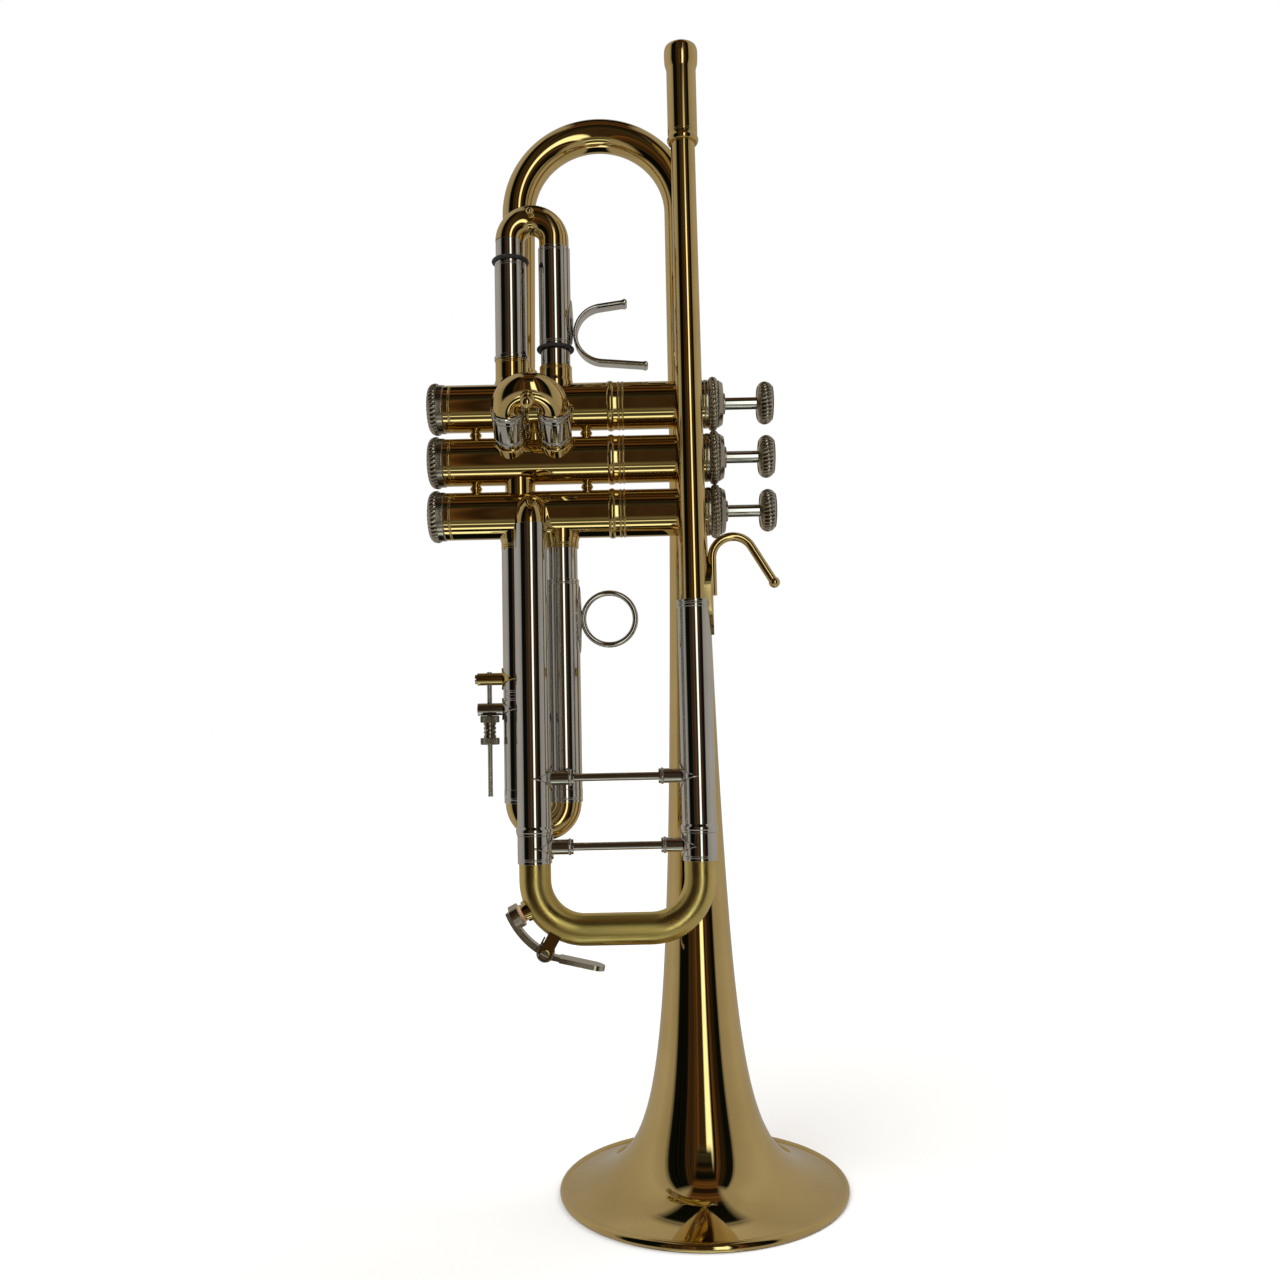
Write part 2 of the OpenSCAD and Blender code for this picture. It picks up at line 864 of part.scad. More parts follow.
cap_bottom_h = 6.9;

module bottom_caps() {
    end_x = casing_bottom_x - cap_bottom_h;
    color(dark_nickel)
        for (i = [0:2])
            on_valve(i)
                translate([0, 0, end_x])
                    difference() {
                        rotate_extrude() {
                            square([9.2, cap_bottom_h]);
                            translate([8.1, 3])
                                circle(r = 3, $fn = 48);
                            translate([0, 3.6])
                                square([10.4, cap_bottom_h - 3.6]);
                        }
                        translate([0, 0, 1.8])
                            cylinder(r = casing_bore / 2 - 0.5, h = cap_bottom_h);
                        translate([0, 0, cap_bottom_h - (casing_bottom_x - thread_bottom_x)])
                            cylinder(r = thread_r, h = cap_bottom_h);
                        translate([0, 0, -1])
                            cylinder(r = 2, h = cap_bottom_h, $fn = 32);
                    }
}

cap_top_h = 9.1;
cap_hollow_r = casing_bore / 2 - 0.5;
cap_hollow_h = 5.5;
felt_h = 1.95;
stem_r = 2.6;

module top_caps() {
    color(dark_nickel)
        for (i = [0:2])
            on_valve(i)
                translate([0, 0, casing_top_x])
                    difference() {
                        rotate_extrude() {
                            square([10.3, 2.2]);
                            translate([9.6, 3.9])
                                circle(r = 1.95, $fn = 48);
                            polygon([[0, 2], [10.6, 2], [10.6, 5.9], [9.2, 8], [0, 8]]);
                            square([4.5, cap_top_h]);
                        }
                        translate([0, 0, -eps])
                            cylinder(r = thread_r, h = thread_top_x - casing_top_x + eps);
                        cylinder(r = cap_hollow_r, h = cap_hollow_h);
                        cylinder(r = stem_r + 0.3, h = 20, $fn = 48);
                    }
}

module cap_felts() {
    color("#2c2a2a")
        for (i = [0:2])
            on_valve(i)
                translate([0, 0, casing_top_x + cap_hollow_h - felt_h])
                    tube(cap_hollow_r, stem_r + 0.3, felt_h);
}

// Star guide: a hub inside the spring barrel with two arms in the casing's slots
module valve_guides() {
    arm_w = guide_slot_w - 0.1;
    color("#e8e4d8")
        for (i = [0:2])
            on_valve(i)
                translate([0, 0, guide_x])
                    difference() {
                        union() {
                            cylinder(r = barrel_ri - 0.2, h = guide_h);
                            intersection() {
                                cylinder(r = casing_bore / 2 + 0.45, h = guide_h);
                                translate([-arm_w / 2, -12, 0])
                                    cube([arm_w, 24, guide_h]);
                            }
                        }
                        translate([0, 0, -1])
                            cylinder(r = 2.6, h = guide_h + 2, $fn = 32);
                    }
}

piston_bottom = -89.5;
barrel_bottom = -19;
barrel_floor = -36;
barrel_top = casing_top_x + 3.45;
barrel_ri = 7.4;
barrel_lid = 1.5;
pass_r = 4;
passage_reach = piston_r;
turn_r = 3.5;
spigot_r = 1.9;

// Where a passage turns, set off the piston's axis towards both of its openings
function passage_turn(x1, a1, x2, a2) =
    [(x1 + x2) / 2, -turn_r * (sin(a1) + sin(a2)), turn_r * (cos(a1) + cos(a2))];

// Opening of a passage on the side of the piston that faces angle a
function passage_end(x, a) = [x, -passage_reach * sin(a), passage_reach * cos(a)];

// A round bar of radius r from point p to point q, carried on past q by extra
module bar(p, q, r, extra = 0) {
    d = q - p;
    translate(p)
        rotate([0, acos(d[2] / norm(d)), atan2(d[1], d[0])])
            cylinder(r = r, h = norm(d) + extra, $fn = 48);
}

// A passage through a piston: enters at x1 towards angle a1, leaves at x2 towards angle a2
module passage(x1, a1, x2, a2, r) {
    if (abs(a1 - a2) == 180) {
        bar(passage_end(x1, a1), passage_end(x2, a2), r);
    } else {
        bar(passage_end(x1, a1), passage_turn(x1, a1, x2, a2), r, 0.5 * r);
        bar(passage_end(x2, a2), passage_turn(x1, a1, x2, a2), r, 0.5 * r);
    }
}

// The three passages of a valve at rest: straight through, and two into its slide
module passages(i, r) {
    inlet = [[knuckle_x[0], down], [knuckle_x[1], down], [-main_pitch, front]][i];
    outlet = [[tail_x, back], [knuckle_x[0], up], [knuckle_x[1], up]][i];
    slide_angle = [up, second_tilt, down][i];
    slide_x = [leg_x1, leg_x2, leg_x3][i];
    translate([0, -valve_y, valve_z[i]]) {
        passage(inlet[0], inlet[1], outlet[0], outlet[1], r);
        passage(slide_x[0] + stroke, slide_angle, outlet[0] + stroke, outlet[1], r);
        passage(inlet[0] + stroke, inlet[1], slide_x[1] + stroke, slide_angle, r);
    }
}

// Piston, solid round its passages, with an open foot and the spring's barrel on top
module piston(i) {
    barrel_r = piston_r - 0.2;
    foot_h = 9.5;
    foot_ri = 8;
    color("#c9c6bd")
        difference() {
            on_valve(i) {
                translate([0, 0, piston_bottom])
                    cylinder(r = piston_r, h = barrel_bottom - piston_bottom);
                translate([0, 0, barrel_bottom])
                    cylinder(r = barrel_r, h = barrel_top - barrel_bottom);
            }
            passages(i, pass_r);
            on_valve(i) {
                translate([0, 0, piston_bottom - 1])
                    cylinder(r = foot_ri, h = foot_h + 1);
                translate([0, 0, barrel_floor])
                    cylinder(r = barrel_ri, h = spring_top - barrel_floor);
                translate([0, 0, spring_top - 1])
                    cylinder(r = spigot_r, h = barrel_lid + 2, $fn = 48);
                translate([-guide_slot_w / 2 - 0.1, -12, guide_x - 0.4])
                    cube([guide_slot_w + 0.2, 24, guide_h + stroke + 1.2]);
            }
        }
}

button_x = 29.9;
button_h = 6.6;
pearl_rise = 0.5;

// Stem with its finger button
module finger_button(i) {
    button_r = button_d / 2;
    on_valve(i) {
        color(nickel) {
            translate([0, 0, barrel_top - barrel_lid])
                cylinder(r = spigot_r, h = barrel_lid, $fn = 48);
            translate([0, 0, barrel_top])
                cylinder(r = stem_r, h = button_x - barrel_top, $fn = 48);
        }
        color(dark_nickel)
            translate([0, 0, button_x])
                rotate_extrude() {
                    square([button_r - 0.8, button_h]);
                    translate([button_r - 0.9, 0.9])
                        circle(r = 0.9, $fn = 32);
                    translate([button_r - 0.9, button_h - 0.9])
                        circle(r = 0.9, $fn = 32);
                    translate([0, 0.9])
                        square([button_r - 0.15, button_h - 1.8]);
                }
    }
}

// Low inlay on the finger button, highest in the middle
module button_pearl(i) {
    inlay_r = button_d / 2 - 1.4;
    color("#d8d2c4")
        on_valve(i)
            translate([0, 0, button_x + button_h])
                rotate_extrude()
                    polygon([[0, 0], [inlay_r, 0], [inlay_r - 0.6, 0.8 * pearl_rise], [0, pearl_rise]]);
}

spring_bottom = guide_x + guide_h;
spring_top = barrel_top - barrel_lid;

// Coil of round wire with height h between its end faces
module coil(coil_r, wire, turns, h) {
    steps = 16;
    sides = 6;
    count = turns * steps;
    rise = (h - 2 * wire) / count;
    points = [
        for (s = [0:count], k = [0:sides - 1])
            let (a = 360 * s / steps, b = 360 * k / sides, r = coil_r + wire * cos(b))
            [r * cos(a), r * sin(a), wire + s * rise + wire * sin(b)]
    ];
    faces = concat(
        [[for (k = [0:sides - 1]) k]],
        [[for (k = [sides - 1:-1:0]) count * sides + k]],
        [for (s = [0:count - 1], k = [0:sides - 1])
            let (n = (k + 1) % sides)
            [s * sides + k, (s + 1) * sides + k, (s + 1) * sides + n, s * sides + n]]
    );
    polyhedron(points = points, faces = faces, convexity = 10);
}

module valve_spring(i) {
    color("#6a6660")
        on_valve(i)
            translate([0, 0, spring_bottom + 0.02])
                coil(5.6, 0.5, 8, spring_top - spring_bottom - 0.04);
}

module piston_1() { piston(0); }
module piston_2() { piston(1); }
module piston_3() { piston(2); }
module finger_button_1() { finger_button(0); }
module finger_button_2() { finger_button(1); }
module finger_button_3() { finger_button(2); }
module button_pearl_1() { button_pearl(0); }
module button_pearl_2() { button_pearl(1); }
module button_pearl_3() { button_pearl(2); }
module valve_spring_1() { valve_spring(0); }
module valve_spring_2() { valve_spring(1); }
module valve_spring_3() { valve_spring(2); }

// ---------- valve slides ----------

first_ferrule_z = [354.3, 351.2];
third_ferrule_z = 272.6;
second_ferrule_s = 12.4;
flare_h = 3;
flare_r_casing = 7.5;

// Ferrule along +Z from the valve axis to height top, flared where it meets the casing
module casing_ferrule(top, r_out = ferrule_r, flare = flare_r_casing) {
    difference() {
        union() {
            cylinder(r = r_out, h = top);
            cylinder(r1 = flare, r2 = r_out, h = min(top, casing_r + flare_h));
        }
        translate([0, 0, -1])
            cylinder(r = bore_r, h = top + 2);
    }
}

module slide_ferrules() {
    color(brass)
        difference() {
            union() {
                for (k = [0, 1])
                    translate([leg_x1[k], -valve_y, valve_z[0]])
                        casing_ferrule(first_ferrule_z[k] - valve_z[0]);
                for (x = leg_x2)
                    second_frame(x)
                        casing_ferrule(second_ferrule_s, brass_r, brass_r);
                for (x = leg_x3)
                    translate([x, -valve_y, valve_z[2]])
                        rotate([180, 0, 0])
                            casing_ferrule(valve_z[2] - third_ferrule_z);
            }
            casing_volume();
        }
}

first_outer_end = 397.4;
first_inner_end = 398;
first_seam_z = 359.9;
first_sleeve_top = 403.5;

module first_slide_fixed_tubes() {
    color(nickel) {
        translate([leg_x1[0], -valve_y, first_ferrule_z[0]]) {
            tube(sleeve_r, sleeve_ri, first_outer_end - first_ferrule_z[0]);
            tube(sleeve_r + 0.5, sleeve_ri, 1.6);
        }
        translate([leg_x1[1], -valve_y, first_ferrule_z[1]])
            tube(inner_r, bore_r, first_inner_end - first_ferrule_z[1]);
    }
}

module first_slide_tubes() {
    inner_bottom = first_ferrule_z[0] + 4;
    color(nickel) {
        translate([leg_x1[0], -valve_y, inner_bottom])
            tube(inner_r, bore_r, first_crook_z - inner_bottom);
        translate([leg_x1[1], -valve_y, first_seam_z])
            tube(sleeve_r, sleeve_ri, first_sleeve_top - first_seam_z);
    }
}

module first_slide_crook() {
    mid_x = first_leg_x + crook_r;
    color(brass) {
        translate([mid_x, -valve_y, first_crook_z])
            bend(crook_r, brass_r, bore_r, 180);
        translate([leg_x1[1], -valve_y, first_sleeve_top])
            tube(brass_r, bore_r, first_crook_z - first_sleeve_top);
    }
}

// Pull knob: a short post with a ball, pointing to -Y from the origin
module pull_knob(post_l, ball_r) {
    rotate([90, 0, 0]) {
        cylinder(r = 1.3, h = post_l, $fn = 32);
        translate([0, 0, post_l])
            sphere(r = ball_r, $fn = 48);
    }
}

module first_slide_knob() {
    mid_x = first_leg_x + crook_r;
    color(brass)
        difference() {
            translate([mid_x, -valve_y, first_crook_z + crook_r])
                pull_knob(brass_r + 3, 1.7);
            translate([mid_x, -valve_y, first_crook_z])
                bend(crook_r, brass_r, 0, 180);
        }
}

// U-shaped thumb rest, open towards the buttons, with prongs that spread a little
module thumb_saddle() {
    strap_t = 1.8;
    strap_w = 8;
    mid_r = 12.2;
    upper_slope = 8;
    lower_slope = 5;
    upper_end = 11.8 * [cos(upper_slope), sin(upper_slope)];
    lower_end = 19.7 * [cos(lower_slope), -sin(lower_slope)];
    foot_z = 371;
    foot_half = 10;
    centre_z = 365;
    centre_x = leg_x1[1] + sleeve_r + 0.9 + strap_t / 2 + mid_r;
    color(nickel) {
        translate([centre_x, -valve_y + strap_w / 2, centre_z])
            rotate([90, 0, 0])
                linear_extrude(strap_w)
                    bent_strap(mid_r, strap_t, 90 + upper_slope, 270 - lower_slope, upper_end, lower_end);
        difference() {
            intersection() {
                translate([leg_x1[1], -valve_y, foot_z - foot_half])
                    cylinder(r = sleeve_r + 1.1, h = 2 * foot_half);
                translate([leg_x1[1], -valve_y, foot_z])
                    rotate([90, 0, 90])
                        linear_extrude(12)
                            leaf(4.2, foot_half);
            }
            translate([leg_x1[1], -valve_y, foot_z - 20])
                cylinder(r = sleeve_r, h = 40);
        }
    }
}

// Outline of a strap bent round the origin from angle a0 to a1, with a straight run past each end
module bent_strap(mid_r, thick, a0, a1, run0, run1) {
    steps = 24;
    r_out = mid_r + thick / 2;
    r_in = mid_r - thick / 2;
    angles = [for (i = [0:steps]) a0 + (a1 - a0) * i / steps];
    polygon(concat(
        [r_out * [cos(a0), sin(a0)] + run0],
        [for (a = angles) r_out * [cos(a), sin(a)]],
        [r_out * [cos(a1), sin(a1)] + run1, r_in * [cos(a1), sin(a1)] + run1],
        [for (i = [steps:-1:0]) r_in * [cos(angles[i]), sin(angles[i])]],
        [r_in * [cos(a0), sin(a0)] + run0]
    ));
}

// Rubber rings where the moving tubes of the first slide come to rest
module slide_bumpers() {
    color("#1c1c1c") {
        translate([leg_x1[0], -valve_y, first_outer_end + 0.85])
            ring(inner_r + 0.9, 0.85);
        translate([leg_x1[1], -valve_y, first_seam_z - 0.85])
            ring(inner_r + 0.95, 0.85);
    }
}

second_outer_end = 23.3;
second_ferrule_end = 27;

module second_slide_fixed_tubes() {
    color(nickel)
        for (x = leg_x2)
            second_frame(x)
                translate([0, 0, second_ferrule_s])
                    tube(sleeve_r, sleeve_ri, second_outer_end - second_ferrule_s);
}

module second_slide_tubes() {
    color(nickel)
        for (x = leg_x2)
            second_frame(x) {
                translate([0, 0, second_ferrule_s + 0.3])
                    tube(inner_r, bore_r, second_ferrule_end - second_ferrule_s - 0.3);
                translate([0, 0, second_outer_end + 0.1])
                    tube(ferrule_r, bore_r, second_ferrule_end - second_outer_end - 0.1);
            }
}

module second_slide_crook() {
    color(brass)
        second_frame(second_leg_x + crook_r) {
            translate([0, 0, second_crook_s])
                bend(crook_r, brass_r, bore_r, 180);
            for (side = [-1, 1])
                translate([side * crook_r, 0, second_ferrule_end])
                    tube(brass_r, bore_r, second_crook_s - second_ferrule_end);
        }
}

module second_slide_knob() {
    color(brass)
        difference() {
            second_frame(second_leg_x + crook_r)
                translate([0, 0, second_crook_s + crook_r - 0.5])
                    pull_knob(brass_r + 3.2, 2.7);
            second_frame(second_leg_x + crook_r)
                translate([0, 0, second_crook_s])
                    bend(crook_r, brass_r, 0, 180);
        }
}

third_split_z = 210.3;
third_seam_z = 259;
third_ferrule_bottom = third_crook_z;
third_grip = 3.6;

module third_slide_fixed_tubes() {
    color(nickel) {
        translate([leg_x3[0], -valve_y, third_split_z + 0.1])
            tube(sleeve_r, sleeve_ri, third_ferrule_z - third_split_z - 0.1);
        translate([leg_x3[1], -valve_y, 176])
            tube(inner_r, bore_r, third_ferrule_z - 176);
    }
}

module third_ferrule() {
    difference() {
        translate([0, 0, third_ferrule_bottom])
            cylinder(r = ferrule_r, h = 5.6);
        translate([0, 0, third_ferrule_bottom - 1])
            cylinder(r = brass_r, h = third_grip + 1);
        translate([0, 0, third_ferrule_bottom])
            cylinder(r = bore_r, h = 10);
    }
}

module third_slide_tubes() {
    ferrule_top = third_ferrule_bottom + 5.6;
    color(nickel) {
        translate([leg_x3[0], -valve_y, 0]) {
            third_ferrule();
            translate([0, 0, ferrule_top - eps])
                tube(sleeve_r, bore_r, third_split_z - ferrule_top);
            translate([0, 0, third_split_z - 1])
                tube(inner_r, bore_r, third_ferrule_z - 4 - third_split_z);
        }
        translate([leg_x3[1], -valve_y, 0]) {
            third_ferrule();
            translate([0, 0, ferrule_top - eps])
                tube(sleeve_r, sleeve_ri, third_seam_z - ferrule_top + eps);
        }
    }
}

module third_slide_crook() {
    color(brass)
        translate([third_leg_x + crook_r, -valve_y, third_crook_z]) {
            mirror([0, 0, 1])
                bend(crook_r, brass_r, bore_r, 180);
            for (side = [-1, 1])
                translate([side * crook_r, 0, 0])
                    tube(brass_r, bore_r, third_ferrule_bottom + third_grip - third_crook_z);
        }
}

// Bar between the two moving legs of the third slide, and the post that runs on the stop rod
module third_slide_brace() {
    bar_z = 201;
    color(nickel) {
        stop_post(post2_z, stop_rod_d / 2 + 0.05);
        difference() {
            translate([leg_x3[0], -valve_y, bar_z])
                rotate([0, 90, 0])
                    cylinder(r = 2, h = leg_pitch, $fn = 32);
            for (x = leg_x3)
                translate([x, -valve_y, bar_z - 10])
                    cylinder(r = sleeve_r, h = 20);
        }
    }
}

ring_z = 242.1;

module finger_ring() {
    wire_r = 1.2;
    foot_t = 1;
    foot_half = 14.4;
    leg_face = leg_x3[1] + sleeve_r;
    color(nickel) {
        translate([leg_face + foot_t + ring_d / 2 - 0.6, -valve_y, ring_z])
            rotate([90, 0, 0])
                ring(ring_d / 2 - wire_r, wire_r);
        difference() {
            intersection() {
                translate([leg_x3[1], -valve_y, ring_z - foot_half])
                    cylinder(r = sleeve_r + foot_t, h = 2 * foot_half);
                translate([leg_x3[1], -valve_y, ring_z])
                    rotate([90, 0, 90])
                        linear_extrude(12)
                            leaf(4.2, foot_half);
            }
            translate([leg_x3[1], -valve_y, ring_z - 20])
                cylinder(r = sleeve_r, h = 40);
        }
    }
}

// ---------- stop rod of the third slide ----------

stop_x = third_leg_x - 12.7;
post1_z = 217.6;
post2_z = 204.9;
post_r = 2.6;
post_end_x = stop_x - 4.9;
stop_rod_bottom = 168.4;
screw_r = 1.2;

// A barrel that carries the stop rod, on a diamond foot on the third slide's leg
module stop_post(z, hole_r) {
    difference() {
        union() {
            translate([post_end_x, -valve_y, z])
                rotate([0, 90, 0])
                    cylinder(r = post_r, h = third_leg_x - post_end_x, $fn = 48);
            translate([third_leg_x, -valve_y, z])
                mirror([1, 0, 0])
                    diamond_foot(sleeve_r, 4.6);
        }
        translate([third_leg_x, -valve_y, z - 10])
            cylinder(r = sleeve_r, h = 20);
        translate([stop_x, -valve_y, z - 10])
            cylinder(r = hole_r, h = 20, $fn = 32);
    }
}

module stop_rod_post() {
    color(brass)
        difference() {
            stop_post(post1_z, stop_rod_d / 2);
            translate([post_end_x - 1, -valve_y, post1_z])
                rotate([0, 90, 0])
                    cylinder(r = screw_r, h = stop_x - post_end_x + 1, $fn = 32);
        }
}

module stop_rod() {
    color(nickel)
        translate([stop_x, -valve_y, stop_rod_bottom])
            cylinder(r = stop_rod_d / 2, h = post1_z + post_r + 0.4 - stop_rod_bottom, $fn = 48);
}

module stop_rod_screw() {
    head_l = 1;
    color(dark_nickel)
        difference() {
            union() {
                translate([post_end_x, -valve_y, post1_z])
                    rotate([0, 90, 0])
                        cylinder(r = screw_r, h = stop_x - post_end_x, $fn = 32);
                translate([post_end_x - head_l, -valve_y, post1_z])
                    rotate([0, 90, 0])
                        cylinder(r = 2, h = head_l, $fn = 32);
            }
            translate([post_end_x - head_l - 0.1, -valve_y - 3, post1_z - 0.25])
                cube([0.6, 6, 0.5]);
            translate([stop_x, -valve_y, post1_z - 10])
                cylinder(r = stop_rod_d / 2, h = 20, $fn = 48);
        }
}

// Two knurled nuts, collar against collar with their waists together
module stop_nuts() {
    nut_h = 6.1;
    collar_h = 3;
    top_z = post2_z - post_r - 0.05;
    color(dark_nickel)
        translate([stop_x, -valve_y, 0])
            for (k = [0, 1])
                translate([0, 0, k == 0 ? top_z - nut_h : top_z - 2 * nut_h - 0.05])
                    difference() {
                        union() {
                            cylinder(r = 2.6, h = nut_h, $fn = 48);
                            translate([0, 0, k == 0 ? nut_h - collar_h : 0])
                                cylinder(r = 4, h = collar_h, $fn = 48);
                        }
                        translate([0, 0, -1])
                            cylinder(r = stop_rod_d / 2 + 0.05, h = nut_h + 2, $fn = 32);
                    }
}

bell();
bell_rim_wire();
bell_braces();
casing_elbows();
mouthpiece_receiver();
leadpipe();
finger_hook();
upper_sleeve();
lower_sleeve();
sleeve_brace();
valve_casing_1();
valve_casing_2();
valve_casing_3();
casing_posts();
valve_knuckles();
bottom_caps();
top_caps();
cap_felts();
valve_guides();
slide_ferrules();
first_slide_fixed_tubes();
second_slide_fixed_tubes();
third_slide_fixed_tubes();
stop_rod_post();
stop_rod();
stop_rod_screw();
tuning_bow();
tuning_slide_tubes();
tuning_slide_brace();
water_key_nipple();
water_key_saddle();
water_key_pin();
water_key_spring();
water_key_lever();
water_key_cork();
first_slide_crook();
first_slide_tubes();
first_slide_knob();
thumb_saddle();
slide_bumpers();
second_slide_crook();
second_slide_tubes();
second_slide_knob();
third_slide_crook();
third_slide_tubes();
third_slide_brace();
finger_ring();
stop_nuts();
piston_1();
piston_2();
piston_3();
finger_button_1();
finger_button_2();
finger_button_3();
button_pearl_1();
button_pearl_2();
button_pearl_3();
valve_spring_1();
valve_spring_2();
valve_spring_3();
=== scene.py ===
"""Looks for a trumpet that stands on its bell. Lengths are in millimetres until a mesh is made."""

import json
import math

import bmesh
import bpy
from mathutils import Matrix, Vector


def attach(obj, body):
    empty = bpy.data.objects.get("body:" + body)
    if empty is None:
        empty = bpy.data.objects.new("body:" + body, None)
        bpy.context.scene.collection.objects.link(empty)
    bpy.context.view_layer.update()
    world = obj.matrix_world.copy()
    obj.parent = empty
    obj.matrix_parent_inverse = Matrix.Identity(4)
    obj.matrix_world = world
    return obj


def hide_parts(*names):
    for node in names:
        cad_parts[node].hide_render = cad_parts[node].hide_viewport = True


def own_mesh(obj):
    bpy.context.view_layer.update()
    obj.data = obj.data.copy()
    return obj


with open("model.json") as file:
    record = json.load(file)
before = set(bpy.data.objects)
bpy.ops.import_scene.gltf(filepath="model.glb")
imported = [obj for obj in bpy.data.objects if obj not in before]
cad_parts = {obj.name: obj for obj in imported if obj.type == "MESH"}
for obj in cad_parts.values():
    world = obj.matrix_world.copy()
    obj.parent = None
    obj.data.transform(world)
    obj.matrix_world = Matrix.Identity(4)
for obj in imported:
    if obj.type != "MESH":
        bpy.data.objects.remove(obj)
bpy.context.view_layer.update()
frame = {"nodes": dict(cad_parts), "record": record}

MM = 0.001

# Sides of wide and of narrow turned shapes.
ROUND, FINE = 96, 64


# ---------- materials ----------

# The part of a noise's range that it mostly stays in, the pointiness of a crease, and the dark colour that
# creases are darkened towards.
NOISE_MIDDLE, CREASE, CREASE_DARK_COLOR = (0.3, 0.7), (0.44, 0.53), (0.05, 0.04, 0.03)
CLOUDS_PER_METRE, SMEARS_PER_METRE, WAVES_PER_METRE = 38, 90, 120
WAVE_DEPTH, RELIEF_DEPTH, COAT_ROUGHNESS = 0.0004, 0.0002, 0.04


def new_material(name):
    """An empty node material: (material, nodes, links, principled shader)."""
    material = bpy.data.materials.new(name)
    material.use_nodes = True
    nodes, links = material.node_tree.nodes, material.node_tree.links
    return material, nodes, links, nodes["Principled BSDF"]


def noise_of(nodes, links, scale, detail):
    """Noise over the object's own space, in features per metre."""
    coords = nodes.new("ShaderNodeTexCoord")
    noise = nodes.new("ShaderNodeTexNoise")
    noise.inputs["Scale"].default_value = scale
    noise.inputs["Detail"].default_value = detail
    links.new(coords.outputs["Object"], noise.inputs["Vector"])
    return noise.outputs["Fac"]


def map_range(nodes, links, value, source, target):
    """Maps a value from one (low, high) range on to another, and holds it there."""
    node = nodes.new("ShaderNodeMapRange")
    node.inputs["From Min"].default_value, node.inputs["From Max"].default_value = source
    node.inputs["To Min"].default_value, node.inputs["To Max"].default_value = target
    links.new(value, node.inputs["Value"])
    return node.outputs["Result"]


def spread(nodes, links, noise, low, high):
    """Maps the middle of a noise on to low..high."""
    return map_range(nodes, links, noise, NOISE_MIDDLE, (low, high))


def blend(nodes, links, factor, low, high):
    """A colour between low and high, by factor. Each is a socket or an (r, g, b) colour."""
    mix = nodes.new("ShaderNodeMix")
    mix.data_type = "RGBA"
    links.new(factor, mix.inputs["Factor"])
    for slot, value in (("A", low), ("B", high)):
        if isinstance(value, tuple):
            mix.inputs[slot].default_value = (*value, 1)
        else:
            links.new(value, mix.inputs[slot])
    return mix.outputs["Result"]


def add_bump(nodes, links, shader, height, strength, distance):
    """Turns a height into a bump on the shader."""
    bump = nodes.new("ShaderNodeBump")
    bump.inputs["Strength"].default_value = strength
    bump.inputs["Distance"].default_value = distance
    links.new(height, bump.inputs["Height"])
    links.new(bump.outputs["Normal"], shader.inputs["Normal"])


def metal(name, worn, clean, roughness, coat=0.0, wave=0.0, crease_darkening=0.0):
    """Polished metal whose tone, gloss and flatness drift a little over its surface."""
    material, nodes, links, shader = new_material(name)
    shader.inputs["Metallic"].default_value = 1
    cloud = noise_of(nodes, links, CLOUDS_PER_METRE, 5)
    tone = blend(nodes, links, spread(nodes, links, cloud, 0, 1), worn, clean)
    # Darker in creases: where pointiness marks a crease, the colour is blended towards a dark brown.
    if crease_darkening:
        geometry = nodes.new("ShaderNodeNewGeometry")
        crease = map_range(nodes, links, geometry.outputs["Pointiness"], CREASE, (crease_darkening, 0))
        tone = blend(nodes, links, crease, tone, CREASE_DARK_COLOR)
    links.new(tone, shader.inputs["Base Color"])
    smear = noise_of(nodes, links, SMEARS_PER_METRE, 3)
    links.new(spread(nodes, links, smear, roughness * 0.8, roughness * 1.3), shader.inputs["Roughness"])
    shader.inputs["Coat Weight"].default_value = coat
    shader.inputs["Coat Roughness"].default_value = COAT_ROUGHNESS
    if wave:
        add_bump(nodes, links, shader, noise_of(nodes, links, WAVES_PER_METRE, 2), wave, WAVE_DEPTH)
    return material


def plain(name, low, high, roughness, scale, bump):
    """A matt or glossy material that isn't metal, with mottled colour and a fine relief."""
    material, nodes, links, shader = new_material(name)
    mottle = noise_of(nodes, links, scale, 6)
    links.new(blend(nodes, links, spread(nodes, links, mottle, 0, 1), low, high),
              shader.inputs["Base Color"])
    shader.inputs["Roughness"].default_value = roughness
    add_bump(nodes, links, shader, mottle, bump, RELIEF_DEPTH)
    return material


MATERIALS = {
    "lacquered_brass": metal("lacquered_brass", (0.66, 0.49, 0.20), (0.76, 0.575, 0.25), 0.04,
                             coat=0.2, wave=0.012),
    "satin_brass": metal("satin_brass", (0.70, 0.54, 0.17), (0.82, 0.66, 0.25), 0.3, wave=0.02),
    "nickel_silver": metal("nickel_silver", (0.60, 0.59, 0.57), (0.70, 0.69, 0.67), 0.045, wave=0.01),
    "aged_nickel": metal("aged_nickel", (0.42, 0.38, 0.31), (0.62, 0.58, 0.49), 0.2, wave=0.08, crease_darkening=0.75),
    "piston_nickel": metal("piston_nickel", (0.66, 0.64, 0.60), (0.72, 0.71, 0.67), 0.12),
    "spring_steel": metal("spring_steel", (0.30, 0.29, 0.27), (0.40, 0.39, 0.37), 0.22),
    "pearl": plain("pearl", (0.80, 0.76, 0.68), (0.92, 0.91, 0.90), 0.12, 700, 0.05),
    "black_felt": plain("black_felt", (0.012, 0.012, 0.012), (0.05, 0.048, 0.045), 0.95, 2200, 0.9),
    "black_rubber": plain("black_rubber", (0.012, 0.012, 0.013), (0.03, 0.03, 0.031), 0.55, 900, 0.2),
    "cork": plain("cork", (0.46, 0.28, 0.14), (0.68, 0.47, 0.27), 0.85, 1400, 0.8),
    "white_nylon": plain("white_nylon", (0.78, 0.75, 0.68), (0.86, 0.84, 0.78), 0.4, 300, 0.1),
}

